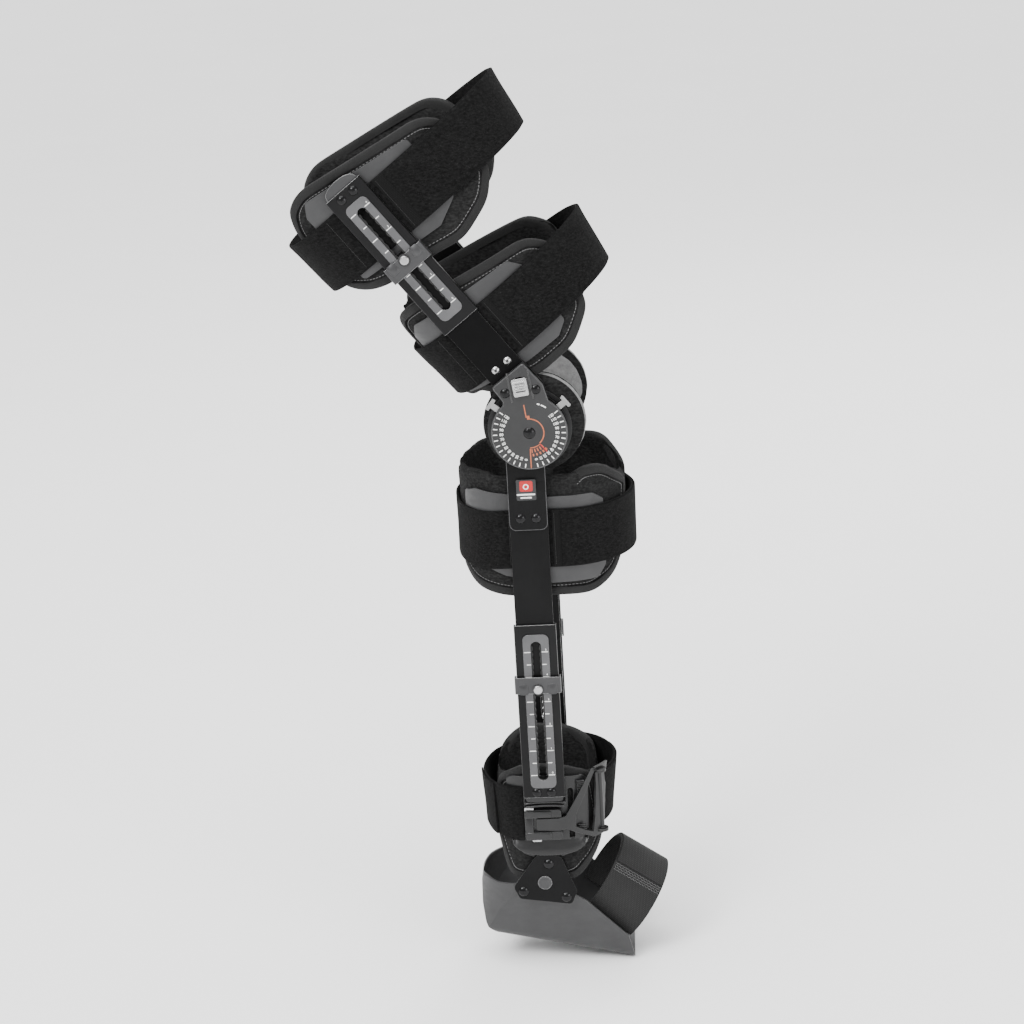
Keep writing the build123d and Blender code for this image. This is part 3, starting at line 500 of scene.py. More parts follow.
class Ring:
    """Closed section round a limb at a level, walked forward from the lateral side's rear."""

    def __init__(self, section, level, outermost, count=260):
        front, rear, front_reach, rear_reach = (v * MM for v in section)
        inset = outermost - level
        self.level = level
        fine = []
        for k in range(40):
            fine.append((rear + (front - rear) * k / 40, -level, 0, -1))
        for k in range(120):
            a = -pi / 2 + pi * k / 120
            fine.append(self.bulge(front, front_reach - inset, a))
        for k in range(40):
            fine.append((front - (front - rear) * k / 40, level, 0, 1))
        for k in range(120):
            a = pi / 2 + pi * k / 120
            fine.append(self.bulge(rear, rear_reach - inset, a))
        self.points = self.even(fine, count)
        self.length = sum((Vector(p[:2]) - Vector(q[:2])).length
                          for p, q in zip(self.points, self.points[1:] + self.points[:1]))

    def bulge(self, centre, reach, angle):
        normal = Vector((cos(angle) / reach, sin(angle) / self.level)).normalized()
        return centre + reach * cos(angle), self.level * sin(angle), normal.x, normal.y

    @staticmethod
    def even(fine, count):
        closed = fine + fine[:1]
        lengths = [0.0]
        for p, q in zip(closed, closed[1:]):
            lengths.append(lengths[-1] + (Vector(p[:2]) - Vector(q[:2])).length)
        result, i = [], 0
        for k in range(count):
            target = lengths[-1] * k / count
            while lengths[i + 1] < target:
                i += 1
            f = (target - lengths[i]) / max(lengths[i + 1] - lengths[i], 1e-9)
            result.append(tuple(a + (b - a) * f for a, b in zip(closed[i], closed[i + 1])))
        return result

    def index(self, t, side):
        """The sample nearest to a forward distance on the lateral or medial side."""
        near = [i for i, p in enumerate(self.points) if p[1] * side > 0]
        return min(near, key=lambda i: abs(self.points[i][0] - t))


def strap_rings(ring, span, levels, lean, cone, run=None, seed=0.0):
    """Cross sections of a flat strap that follows a ring; cone widens it up the limb front and rear."""
    half = (span[1] - span[0]) / 2
    mid = (span[1] + span[0]) / 2
    thick = levels[1] - levels[0]
    round_r = thick * 0.45
    profile = []
    for k in range(9):
        profile.append((half - round_r - 2 * (half - round_r) * k / 8, levels[1]))
    profile += [(-half + 0.25 * round_r, levels[1] - 0.4 * round_r), (-half, (levels[0] + levels[1]) / 2),
                (-half + 0.25 * round_r, levels[0] + 0.4 * round_r)]
    for k in range(9):
        profile.append((-half + round_r + 2 * (half - round_r) * k / 8, levels[0]))
    profile += [(half - 0.25 * round_r, levels[0] + 0.4 * round_r), (half, (levels[0] + levels[1]) / 2),
                (half - 0.25 * round_r, levels[1] - 0.4 * round_r)]
    indices = run if run is not None else range(len(ring.points))
    rings = []
    for i in indices:
        t, y, nt, ny = ring.points[i % len(ring.points)]
        lift = cone[0] * max(nt, 0) + cone[1] * max(-nt, 0)
        bend = abs(nt)
        section = []
        for along, level in profile:
            wobble = noise.noise(Vector((t * 38, y * 38, along * 30 + seed))) * 0.9 * MM * bend
            out = level - ring.level + lift * along + wobble
            section.append(limb(t + nt * out, y + ny * out, mid + along, lean))
        rings.append(section)
    return rings


def seam_stitches(points, directions, normals, length, width, rise):
    """Small raised stitches, one at each point."""
    parts = []
    for spot, along, normal in zip(points, directions, normals):
        across = along.cross(normal).normalized()
        rings = []
        for k in range(5):
            u = -1 + 2 * k / 4
            swell = sqrt(max(0.0, 1 - 0.8 * u * u))
            ring = []
            for j in range(6):
                a = 2 * pi * j / 6
                ring.append(spot + along * (u * length / 2) + across * (cos(a) * width / 2 * swell)
                            + normal * (rise * (0.4 + 0.6 * sin(a)) * swell))
            rings.append(ring)
        parts.append(sweep_mesh(rings, False))
    return join_meshes(parts)


# ---------------------------------------------------------------- pads
def clean_mesh(node):
    work = bmesh.new()
    work.from_mesh(frame["nodes"][node].data)
    bmesh.ops.remove_doubles(work, verts=work.verts, dist=2e-6)
    bmesh.ops.recalc_face_normals(work, faces=work.faces)
    return work


def outer_rim(node):
    """The closed edge between a lateral piece's outer face and its wall, with both normals."""
    work = clean_mesh(node)
    links = {}
    for edge in work.edges:
        walls = [f for f in edge.link_faces if abs(f.normal.y) < 0.03]
        faces = [f for f in edge.link_faces if f.normal.y < -0.03]
        if not walls or not faces:
            continue
        for here, there in (edge.verts, reversed(edge.verts)):
            links.setdefault(here, []).append((there, faces[0].normal.copy(), walls[0].normal.copy()))
    chains, left = [], set(links)
    while left:
        start = min(left, key=lambda v: (len(links[v]) != 1, v.index))
        left.discard(start)
        chain = [(start.co.copy(), *links[start][0][1:])]
        here = start
        while True:
            onward = [item for item in links[here] if item[0] in left]
            if not onward:
                break
            here, face_normal, wall_normal = min(onward, key=lambda item: item[0].co.y)
            left.discard(here)
            chain.append((here.co.copy(), face_normal, wall_normal))
        chains.append(chain)
    work.free()
    return joined_chains([chain for chain in chains if len(chain) > 1])


def joined_chains(chains):
    """Chains put end to end, nearest first, starting from the longest."""
    def run(chain):
        return sum((p[0] - q[0]).length for p, q in zip(chain, chain[1:]))
    chains.sort(key=run, reverse=True)
    whole = chains.pop(0)
    while chains:
        end = whole[-1][0]
        gaps = [min((c[0][0] - end).length, (c[-1][0] - end).length) for c in chains]
        gap, near = min((gap, i) for i, gap in enumerate(gaps))
        if gap > 14 * MM or gap > (whole[0][0] - end).length + 1 * MM:
            break
        chain = chains.pop(near)
        if (chain[-1][0] - end).length < (chain[0][0] - end).length:
            chain.reverse()
        whole += chain if gap > 0.01 * MM else chain[1:]
    return whole


def even_loop(loop, step, smooth):
    """Evenly spaced points along a closed rim, with smoothed places and normals."""
    closed = loop + loop[:1]
    lengths = [0.0]
    for p, q in zip(closed, closed[1:]):
        lengths.append(lengths[-1] + (p[0] - q[0]).length)
    count = round(lengths[-1] / step)
    result, i = [], 0
    for k in range(count):
        target = lengths[-1] * k / count
        while lengths[i + 1] < target:
            i += 1
        f = (target - lengths[i]) / max(lengths[i + 1] - lengths[i], 1e-9)
        result.append([a.lerp(b, f) for a, b in zip(closed[i], closed[i + 1])])
    for _ in range(smooth):
        result = [[(before[j] + 2 * here[j] + after[j]) / 4 for j in range(3)]
                  for before, here, after in zip(result[-1:] + result[:-1], result, result[1:] + result[:1])]
    return result


def rim_frames(loop):
    """For each rim point: place, tangent, outward normal and the way into the pad."""
    frames = []
    count = len(loop)
    for i, (spot, normal, wall) in enumerate(loop):
        tangent = (loop[(i + 1) % count][0] - loop[i - 1][0]).normalized()
        normal = normal.normalized()
        inward = normal.cross(tangent).normalized()
        if inward.dot(wall) > 0:
            inward = -inward
        frames.append((spot, tangent, normal, inward))
    return frames


def plump(name, node, cap_out, cap_in, shrink, voxel=4.0):
    """Soft pad from its CAD solid: remeshed a little smaller, blown up as cloth, then smoothed."""
    source = clean_mesh(node)
    mesh = bpy.data.meshes.new(name)
    source.to_mesh(mesh)
    source.free()
    pad = bpy.data.objects.new(name, mesh)
    bpy.context.collection.objects.link(pad)
    bpy.context.view_layer.objects.active = pad
    mesh.remesh_voxel_size = voxel * MM
    mesh.remesh_voxel_adaptivity = 0.0
    bpy.ops.object.voxel_remesh()
    mesh = pad.data
    starts = [v.co - v.normal * shrink for v in mesh.vertices]
    for vert, start in zip(mesh.vertices, starts):
        vert.co = start
    mesh.update()
    cloth = pad.modifiers.new("cloth", "CLOTH")
    cloth.settings.quality = 6
    cloth.settings.mass = 0.2
    cloth.settings.tension_stiffness = 12
    cloth.settings.bending_stiffness = 0.4
    cloth.settings.use_pressure = True
    cloth.settings.uniform_pressure_force = 4.0
    cloth.settings.effector_weights.gravity = 0.0
    scene = bpy.context.scene
    for step in range(1, 21):
        scene.frame_set(step)
    swollen = pad.evaluated_get(bpy.context.evaluated_depsgraph_get()).data
    moved = [v.co.copy() for v in swollen.vertices]
    outward = [v.normal.copy() for v in mesh.vertices]
    pad.modifiers.remove(cloth)
    scene.frame_set(1)
    for vert, start, end, normal in zip(mesh.vertices, starts, moved, outward):
        facing_leg = normal.y * (1 if start.y < 0 else -1) > 0.3
        cap = cap_in if facing_leg else cap_out
        step = end - start
        if step.length > cap:
            step = step.normalized() * cap
        vert.co = start + step
    smoother = bmesh.new()
    smoother.from_mesh(mesh)
    bmesh.ops.smooth_vert(smoother, verts=smoother.verts, factor=0.4, use_axis_x=True, use_axis_y=True,
                          use_axis_z=True)
    smoother.to_mesh(mesh)
    smoother.free()
    divide = pad.modifiers.new("finer", "SUBSURF")
    divide.levels = divide.render_levels = 1
    bpy.context.view_layer.objects.active = pad
    bpy.ops.object.modifier_apply(modifier=divide.name)
    return pad


def surface_of(made):
    work = bmesh.new()
    work.from_mesh(made.data)
    tree = BVHTree.FromBMesh(work)
    work.free()
    return tree


CONDYLE_CLEARANCE = 56 * MM  # nearer the knee axis the pads are cut thin, so the tape's far side is too
BINDING_PROFILE = (
    (6.6, -0.2), (6.6, 0.35), (6.2, 0.6), (4.4, 0.85), (2.2, 0.9), (0.7, 0.6), (-0.3, -0.3), (-0.7, -1.8),
    (-0.7, -5.0), (-0.3, -6.8), (0.7, -7.9), (3.0, -8.5), (6.2, -8.5), (6.2, -7.2), (2.2, -6.8),
    (1.4, -4.0), (2.2, -1.2))
STITCH_PITCH, STITCH_LENGTH = 3.4 * MM, 2.3 * MM


def bind_edge(name, node, body, slot):
    """Sewn tape folded over the pad's edge."""
    frames = rim_frames(even_loop(outer_rim(node), 2.2 * MM, 6))
    rings = []
    for spot, _, normal, inward in frames:
        puff = 1 + 0.07 * noise.noise(spot * 60)
        depth = 1.0 if Vector((spot.x, spot.z)).length > CONDYLE_CLEARANCE else 0.2
        rings.append([spot + inward * (b * MM) + normal * (n * MM * (puff if n > 0 else depth))
                      for b, n in BINDING_PROFILE])
    for _ in range(14):
        rings = [[(a + b * 2 + c) / 4 for a, b, c in zip(*trio)]
                 for trio in zip(rings[-1:] + rings[:-1], rings, rings[1:] + rings[:1])]
    verts, faces = sweep_mesh(rings, True)
    both_sides(name, verts, faces, body, "binding", slot, 60)


def stitch_line(name, node, pad, offset, body, slot):
    """Dashed seam inside the binding, laid on the pad's surface."""
    frames = rim_frames(even_loop(outer_rim(node), STITCH_PITCH, 8))
    tree = surface_of(pad)
    spots = []
    for spot, tangent, normal, inward in frames:
        guess = spot + inward * (offset * MM)
        hit, hit_normal, _, _ = tree.ray_cast(guess + normal * 6 * MM, -normal, 14 * MM)
        if hit is not None:
            spots.append((hit, tangent, normal))
    points, directions, normals = zip(*spots)
    verts, faces = seam_stitches(points, directions, normals, STITCH_LENGTH, 0.75 * MM, 0.45 * MM)
    both_sides(name, verts, faces, body, "thread_light", slot, 80)


def make_pads():
    for name in ("upper_thigh_pad", "lower_thigh_pad", "calf_pad", "ankle_pad"):
        node = f"{name}_lateral"
        body = BODY_OF[node]
        pad = plump(f"{name}_foam_lateral", node, 1.3 * MM, 4.0 * MM, 1.2 * MM)
        dress(pad, body, "pad", "pad", 80)
        other = mirrored(pad, f"{name}_foam_medial", body, "pad", "pad", 80)
        for made, side in ((pad, "lateral"), (other, "medial")):
            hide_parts(f"{name}_{side}")
        bind_edge(f"{name}_binding", node, body, "pad")
        stitch_line(f"{name}_stitches", node, pad, 8.6, body, "pad")


def make_condyle_pads():
    """Round pad with a black face towards the hinge and pale foam beyond its edge."""
    pad = plump("condyle_foam_lateral", "condyle_pad_lateral", 1.6 * MM, 3.0 * MM, 1.2 * MM)
    dress(pad, "thigh_frame", "pad_edge", "foam", 80)
    other = mirrored(pad, "condyle_foam_medial", "thigh_frame", "pad_edge", "foam", 80)
    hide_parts("condyle_pad_lateral")
    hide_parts("condyle_pad_medial")
    centre = middle("condyle_pad_lateral")
    face = -low("condyle_pad_lateral").y
    rings = []
    for level, radius in ((face - 2.6 * MM, 42.4), (face - 0.6 * MM, 43.3), (face + 0.35 * MM, 42.9),
                          (face + 0.7 * MM, 41.4), (face + 0.6 * MM, 30.0)):
        ring = []
        for k in range(96):
            a = 2 * pi * k / 96
            ring.append(Vector((centre.x + (radius * cos(a) - 1.3) * MM, -level,
                                centre.z + (radius * sin(a) - 1.0) * MM)))
        rings.append(ring)
    verts, faces = sweep_mesh(rings, False)
    both_sides("condyle_cover", verts, faces, "thigh_frame", "pad", "pad", 60)
    inner = -high("condyle_pad_lateral").y
    lining = []
    for level, radius in ((inner + 0.6 * MM, 43.0), (inner - 0.5 * MM, 42.4), (inner - 0.7 * MM, 36.0),
                          (inner - 0.7 * MM, 4.0)):
        lining.append([Vector((centre.x + radius * MM * cos(2 * pi * k / 72), -level,
                               centre.z + radius * MM * sin(2 * pi * k / 72))) for k in range(72)])
    both_sides("condyle_lining", *sweep_mesh(lining, False), "thigh_frame", "pad", "pad", 60)


# ---------------------------------------------------------------- cuff straps
def cuff_strap(name, node, section, span, lean, cone, body, finish, flap, hem):
    """Base strap round the limb, a second layer over the front, its hook tab and hems."""
    inner, outer = SHELL_FACE + 0.15 * MM, STRAP_OUT
    ring = Ring(section, outer, outer)
    rings = strap_rings(ring, span, (inner, outer), lean, cone)
    base = piece(f"{name}_band", *sweep_mesh(rings, True), body, finish, "strap", 50)
    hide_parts(node)
    start, tab_end = ring.index(flap[0] * MM, LATERAL), ring.index(flap[1] * MM, LATERAL)
    end = ring.index(flap[2] * MM, MEDIAL)
    narrow = (span[0] + 0.8 * MM, span[1] - 0.8 * MM)
    over = strap_rings(ring, narrow, (outer + 0.1 * MM, outer + 1.9 * MM), lean, cone,
                       range(tab_end, end), 7.0)
    layer = piece(f"{name}_overlap", *sweep_mesh(over, False), body, finish, "strap", 50)
    tab_span = (span[0] + 0.4 * MM, span[1] - 0.4 * MM)
    tab_rings = strap_rings(ring, tab_span, (outer + 0.05 * MM, outer + 1.0 * MM), lean, cone,
                            range(start, tab_end + 3), 3.0)
    tab = piece(f"{name}_hook_tab", *sweep_mesh(tab_rings, False), body, "tab", "strap", 50)
    edge_stitches(f"{name}_tab_stitches", ring, (start + 1, tab_end + 2), narrow, outer + 1.0 * MM, lean,
                  cone, body)
    rear = ring.index(hem * MM, LATERAL)
    edge_stitches(f"{name}_hem_stitches", ring, (rear,), narrow, outer, lean, cone, body)


def edge_stitches(name, ring, indices, span, level, lean, cone, body):
    """Rows of dark stitches across the strap."""
    spots, along, normals = [], [], []
    a = radians(lean)
    up = Vector((-sin(a), 0, cos(a)))
    mid, half = (span[0] + span[1]) / 2, (span[1] - span[0]) / 2 - 1.5 * MM
    steps = int(half / (1.6 * MM))
    for i in indices:
        t, y, nt, ny = ring.points[i % len(ring.points)]
        for k in range(-steps, steps + 1):
            height = k * 1.6 * MM
            out = level - ring.level + (cone[0] * max(nt, 0) + cone[1] * max(-nt, 0)) * height
            spots.append(limb(t + nt * out, y + ny * out, mid + height, lean))
            along.append(up)
            normals.append((limb(nt, ny, 0, lean)).normalized())
    verts, faces = seam_stitches(spots, along, normals, 1.2 * MM, 0.5 * MM, 0.3 * MM)
    piece(name, verts, faces, body, "thread_dark", "strap", 80)


def make_straps():
    cuff_strap("upper_thigh", "upper_thigh_strap", UPPER_SECTION, (193 * MM, 247 * MM), THIGH_LEAN,
               (0.19, 0.07), "upper_cuff", "strap", (42, 54, 60), -10)
    cuff_strap("lower_thigh", "lower_thigh_strap", LOWER_SECTION, (57 * MM, 111 * MM), THIGH_LEAN,
               (0.19, 0.05), "thigh_frame", "strap", (41, 50, 52), -8)
    cuff_strap("calf", "calf_strap", CALF_SECTION, (-124 * MM, -71.5 * MM), 0.0,
               (0.0, 0.0), "shank_frame", "strap_low", (15, 22, 30), -22)


# ---------------------------------------------------------------- hinge prints
DIAL_TICKS = 13


def dial_print(side):
    """Ticks, numbers and lock marks on the dial's face; side is lateral or medial."""
    name = "lateral" if side == LATERAL else "medial"
    place = side_place()
    face = COVER_FACE
    lines = []
    for hand, first, last in ((-1, 9.4, 128.4), (1, 10.9, 126.6)):
        for k in range(DIAL_TICKS):
            angle = hand * (first + (last - first) * k / (DIAL_TICKS - 1))
            lines.append(radial_bar(angle, 27.4, 30.9, 0.85, place, face))
            row = "rear" if hand < 0 else "front"
            text_mark(f"dial_{name}_{row}_{k * 10}", str(k * 10), 23.8, angle, 3.3, side, face, "white_ink",
                      "thigh_frame")
    lines.append(band_mesh(26.4 * MM, 1.1 * MM, 158, 163, place, face, face + 0.07 * MM, 8))
    lines.append(band_mesh(26.4 * MM, 1.1 * MM, 145, 155.5, place, face, face + 0.07 * MM, 12))
    put_print(f"dial_ticks_{name}", lines, side, "white_ink", "thigh_frame", "cover")
    marks = [band_mesh(12.3 * MM, 0.95 * MM, 42, 176, place, face, face + 0.07 * MM, 60)]
    marks.append(radial_bar(188, 13.6, 25.0, 0.9, place, face))
    marks.append(radial_bar(181, 11.9, 15.2, 2.2, place, face))
    marks.append(radial_bar(0, 14.0, 31.0, 0.9, place, face))
    marks.append(band_mesh(13.2 * MM, 0.8 * MM, 0, 42, place, face, face + 0.07 * MM, 20))
    for k in range(5):
        marks.append(radial_bar(5 + 9 * k, 14.4, 17.6, 1.0, place, face))
        marks.append(radial_bar(7 + 9 * k, 18.6, 20.8, 1.3, place, face))
    put_print(f"dial_lock_marks_{name}", marks, side, "orange_ink", "thigh_frame", "cover")
    red = [radial_bar(40, 13.0, 22.4, 0.8, place, face + 0.05 * MM)]
    put_print(f"dial_red_mark_{name}", red, side, "red_ink", "thigh_frame", "cover")


def radial_bar(angle, r0, r1, width, place, face, rise=0.07):
    a = radians(angle)
    out, across = Vector((sin(a), -cos(a))), Vector((cos(a), sin(a)))
    corners = [out * r0 - across * width / 2, out * r1 - across * width / 2, out * r1 + across * width / 2,
               out * r0 + across * width / 2]
    outline = [(c.x * MM, c.y * MM) for c in corners]
    return slab_mesh(outline, place, face - 0.05 * MM, face + rise * MM)


def put_print(name, parts, side, finish, body, slot):
    verts, faces = join_meshes(parts)
    if side == MEDIAL:
        verts = [Vector((v.x, -v.y, v.z)) for v in verts]
    return piece(name, verts, faces, body, finish, slot)


def text_mark(name, words, radius, angle, size, side, face, finish, body):
    """A number on a side face, upright for someone who faces that side."""
    a = radians(angle)
    x, z = radius * sin(a), -radius * cos(a)
    spin = angle - 90 if angle > 0 else angle + 90
    spot = Vector((x * MM, side * (face + 0.02 * MM), z * MM))
    place_text(name, words, spot, spin, size, side, finish, body)


def place_text(name, words, spot, spin, size, side, finish, body):
    curve = bpy.data.curves.new(name, "FONT")
    curve.body = words
    curve.size = size * MM
    curve.align_x, curve.align_y = "CENTER", "CENTER"
    curve.extrude = 0.04 * MM
    curve.offset = 0.018 * size * MM
    letters = bpy.data.objects.new(name, curve)
    bpy.context.collection.objects.link(letters)
    bpy.context.view_layer.update()
    mesh = bpy.data.meshes.new_from_object(letters)
    bpy.data.objects.remove(letters)
    facing = Matrix.Rotation(radians(90), 4, "X")
    turned = Matrix.Rotation(radians(spin), 4, "Z")
    if side == MEDIAL:
        turned = Matrix.Rotation(radians(-spin), 4, "Z")
        facing = Matrix.Rotation(radians(180), 4, "Z") @ facing
    mesh.transform(Matrix.Translation(spot) @ facing @ turned)
    made = bpy.data.objects.new(name, mesh)
    bpy.context.collection.objects.link(made)
    return dress(made, body, finish, "plate_silver" if "scale" in name else "cover")


def edge_line(name, node, body, radius, slot):
    """Painted highlight: a thin bright line along a piece's outer edge."""
    frames = rim_frames(even_loop(outer_rim(node), 1.0 * MM, 1))
    rings = []
    for spot, _, normal, inward in frames:
        centre = spot + inward * (radius * 0.9 * MM) - normal * (radius * 0.55 * MM)
        rings.append([centre + inward * (radius * MM * cos(a)) + normal * (radius * MM * sin(a))
                      for a in (0.4, 1.2, 2.0, 2.8, 3.9, 5.3)])
    both_sides(name, *sweep_mesh(rings, True), body, "edge_line", slot, 60)


def slider_grooves():
    """Painted shade: black strips in the dark valleys between the lock slider's ribs and on its darker foot.
    """
    for side, sign in (("lateral", LATERAL), ("medial", MEDIAL)):
        node = f"lock_slider_{side}"
        centre, top = middle(node), -low("lock_slider_lateral").y
        parts = []
        for rise, half in ((-3.6, 4.1), (-1.3, 4.3), (1.1, 4.3), (3.6, 4.3)):
            outline = []
            for a, b in ((-half, rise - 0.28), (half, rise - 0.28), (half, rise + 0.28),
                         (-half, rise + 0.28)):
                spot = limb(a * MM, 0, b * MM, 8.0)
                outline.append((spot.x + centre.x, spot.z + centre.z))
            # painted shade: a black strip in each valley
            parts.append(slab_mesh(outline, side_place(), top - 0.5 * MM, top + 0.04 * MM))
        put_print(f"slider_grooves_{side}", parts, sign, "label", f"lock_{side}", "steel")


def pin_rings():
    """Painted shadow ring round each clamp pin, and the moulded relief of the clamp bands."""
    for name, lean, body in (("thigh", THIGH_LEAN, "thigh_frame"), ("shank", 0.0, "shank_frame")):
        pin, band = middle(f"{name}_clamp_pin_lateral"), low(f"{name}_clamp_bands")
        face = -band.y
        a = radians(lean)
        across = (pin.x * cos(a) + pin.z * sin(a)) / MM
        along = (-pin.x * sin(a) + pin.z * cos(a)) / MM
        place = side_place(lean)
        # painted shadow: a black ring round the pin
        painted_shadow = [band_of_circle((across, along), 4.9, 1.3, place, face - 0.01 * MM)]
        both_sides(f"{name}_pin_shadow_ring", *join_meshes(painted_shadow), body, "label", "clamp_grey")
        ribs = []
        for hand in (-1, 1):
            a0, a1 = sorted((across + hand * 8.4, across + hand * 17.0))
            ribs.append(slab_mesh(box_outline(a0, along - 5.0, a1, along + 5.0, 2.4),
                                  place, face - 0.3 * MM, face + 0.35 * MM))
        both_sides(f"{name}_clamp_relief", *join_meshes(ribs), body, "clamp", "clamp_grey", 50)


def make_hinge():
    place = side_place()
    # painted highlight lines along the outer edges of the hinge cover and arm
    edge_line("cover_edge_highlight", "hinge_cover_lateral", "thigh_frame", 0.42, "cover")
    edge_line("arm_edge_highlight", "hinge_arm_lateral", "shank_frame", 0.32, "bar_black")
    slider_grooves()
    pin_rings()
    for side in (LATERAL, MEDIAL):
        dial_print(side)
    rim = band_mesh(31.6 * MM, 0.5 * MM, -128, 128, place, COVER_FACE - 0.3 * MM, COVER_FACE + 0.1 * MM,
                    120)
    both_sides("dial_rim", *rim, "thigh_frame", "cover", "cover")
    lean = side_place(8.0)
    # painted shade: three black slots on the cover where grooves would lie in shade
    slots = [slab_mesh(box_outline(k * 3.3 - 0.8, 50.2, k * 3.3 + 0.8, 54.0, 0.7),
                       lean, COVER_FACE - 0.2 * MM, COVER_FACE + 0.05 * MM) for k in (-1, 0, 1)]
    both_sides("lock_groove_shade", *join_meshes(slots), "thigh_frame", "label", "cover")
    rails = []
    for hand in (-1, 1):
        a = hand * 8.6
        outline = [(a * MM, 29 * MM), ((a + hand * 1.2) * MM, 29 * MM), ((a + hand * 0.9) * MM, 54.5 * MM),
                   ((a - hand * 0.3) * MM, 54.5 * MM)]
        rails.append(slab_mesh(outline, lean, COVER_FACE - 0.2 * MM, COVER_FACE + 0.7 * MM))
    both_sides("lock_rails", *join_meshes(rails), "thigh_frame", "cover", "cover")


# ---------------------------------------------------------------- bars
TRACK_IN, TRACK_OUT = 70.85, 71.9  # faces of the slot's track, inside the channel's web


def scale_marks(name, slot_ends, centre, lean, majors, body, pitch, first):
    """Ticks on both sides of the scale plate's slot, and the track inside it."""
    face = PLATE_FACE
    place = side_place(lean)
    lines = []
    for k in range(majors * 2 - 1):
        height = first + pitch / 2 * k
        for hand in (-1, 1):
            near, far = centre + hand * 5.0, centre + hand * (10.4 if k % 2 == 0 else 8.6)
            a0, a1 = sorted((near, far))
            lines.append(slab_mesh([(a0 * MM, (height - 0.36) * MM), (a1 * MM, (height - 0.36) * MM),
                                    (a1 * MM, (height + 0.36) * MM), (a0 * MM, (height + 0.36) * MM)],
                                   place, face - 0.05 * MM, face + 0.07 * MM))
    both_sides(f"{name}_scale_ticks", *join_meshes(lines), body, "white_ink", "plate_silver")
    parts = []
    top, bottom = slot_ends[1] - 4.0, slot_ends[0] + 4.0
    for hand in (-1, 1):
        strip = []
        for k in range(241):
            s = bottom + (top - bottom) * k / 240
            reach = 1.0 + 1.0 * abs(sin(pi * (s - first) / (pitch / 4))) ** 0.7
            side = centre + hand * 4.85
            edge = centre + hand * (4.85 - reach)
            strip.append([place(a * MM, s * MM, level * MM) for a, level in
                          ((side, TRACK_IN), (edge, TRACK_IN), (edge, TRACK_OUT), (side, TRACK_OUT))])
        parts.append(sweep_mesh(strip, False))
    both_sides(f"{name}_slot_track", *join_meshes(parts), body, "dark_plastic", "channel_grey", 50)


def scale_numbers(name, centre, lean, majors, body, pitch, first):
    for side in (LATERAL, MEDIAL):
        side_name = "lateral" if side == LATERAL else "medial"
        for k in range(majors):
            height = first + pitch * k
            spot = limb((centre + 8.6) * MM, 0, (height + 2.0) * MM, lean)
            spot.y = side * (PLATE_FACE + 0.02 * MM)
            place_text(f"{name}_scale_{side_name}_{k}", str(k), spot, lean, 2.4, side, "white_ink", body)


# name, slot ends, centre, lean, count of whole marks, body, pitch and first mark, in mm and degrees
SCALES = (("thigh", (124.5, 236.5), 19.0, THIGH_LEAN, 5, "upper_cuff", 26.9, 127.4),
          ("shank", (-320.8, -189.8), SHANK_X / MM, 0.0, 6, "ankle_frame", 23.2, -315.5))


def make_bars():
    for name, slot_ends, *scale in SCALES:
        scale_marks(name, slot_ends, *scale)
        scale_numbers(name, *scale)
    end_lip()
    arm_label()
    screw_sockets()


def end_lip():
    """Curved end of the cuff's stay, showing past the top of each thigh channel."""
    place = side_place(THIGH_LEAN)
    rings = []
    for k in range(25):
        u = -1 + 2 * k / 24
        a = 19 + 16.4 * u
        reach = 257.8 + 8.6 * sqrt(max(0.0, 1 - u * u)) ** 0.8
        rings.append([place(a * MM, s * MM, level * MM) for s, level in
                      ((246.0, 68.4), (reach, 69.3), (reach + 0.3, 70.1), (reach, 70.9), (257.6, 70.6),
                       (246.0, 69.6))])
    both_sides("thigh_stay_end", *sweep_mesh(rings, False), "upper_cuff", "clamp", "clamp_grey", 50)


def arm_label():
    """Plain dark label with a red square and two pale lines; no lettering."""
    place = side_place()
    x, face = SHANK_X / MM, ARM_FACE
    back = slab_mesh(box_outline(x - 9.0, -61.0, x + 8.0, -42.4, 1.2), place,
                     face - 0.1 * MM, face + 0.12 * MM)
    both_sides("arm_label", *back, "shank_frame", "label", "bar_black")
    square = slab_mesh(box_outline(x - 6.0, -53.0, x + 5.2, -43.6, 1.6), place,
                       face + 0.1 * MM, face + 0.2 * MM)
    both_sides("arm_label_square", *square, "shank_frame", "red_ink", "bar_black")
    marks = [slab_mesh(box_outline(x - 8.6, -56.4, x + 7.0, -55.0, 0.4), place,
                       face + 0.1 * MM, face + 0.2 * MM),
             slab_mesh(box_outline(x - 5.6, -59.2, x + 4.0, -57.9, 0.4), place,
                       face + 0.1 * MM, face + 0.2 * MM),
             band_of_circle((x - 0.7, -48.8), 2.0, 0.9, place, face + 0.2 * MM)]
    both_sides("arm_label_marks", *join_meshes(marks), "shank_frame", "white_ink", "bar_black")


def band_of_circle(centre, radius, width, place, face, steps=32):
    rings = []
    for k in range(steps):
        a = 2 * pi * k / steps
        ring = []
        for r, level in ((radius - width / 2, 0), (radius + width / 2, 0), (radius + width / 2, 0.06),
                         (radius - width / 2, 0.06)):
            ring.append(place((centre[0] + r * cos(a)) * MM, (centre[1] + r * sin(a)) * MM,
                              face + level * MM))
        rings.append(ring)
    return sweep_mesh(rings, True)


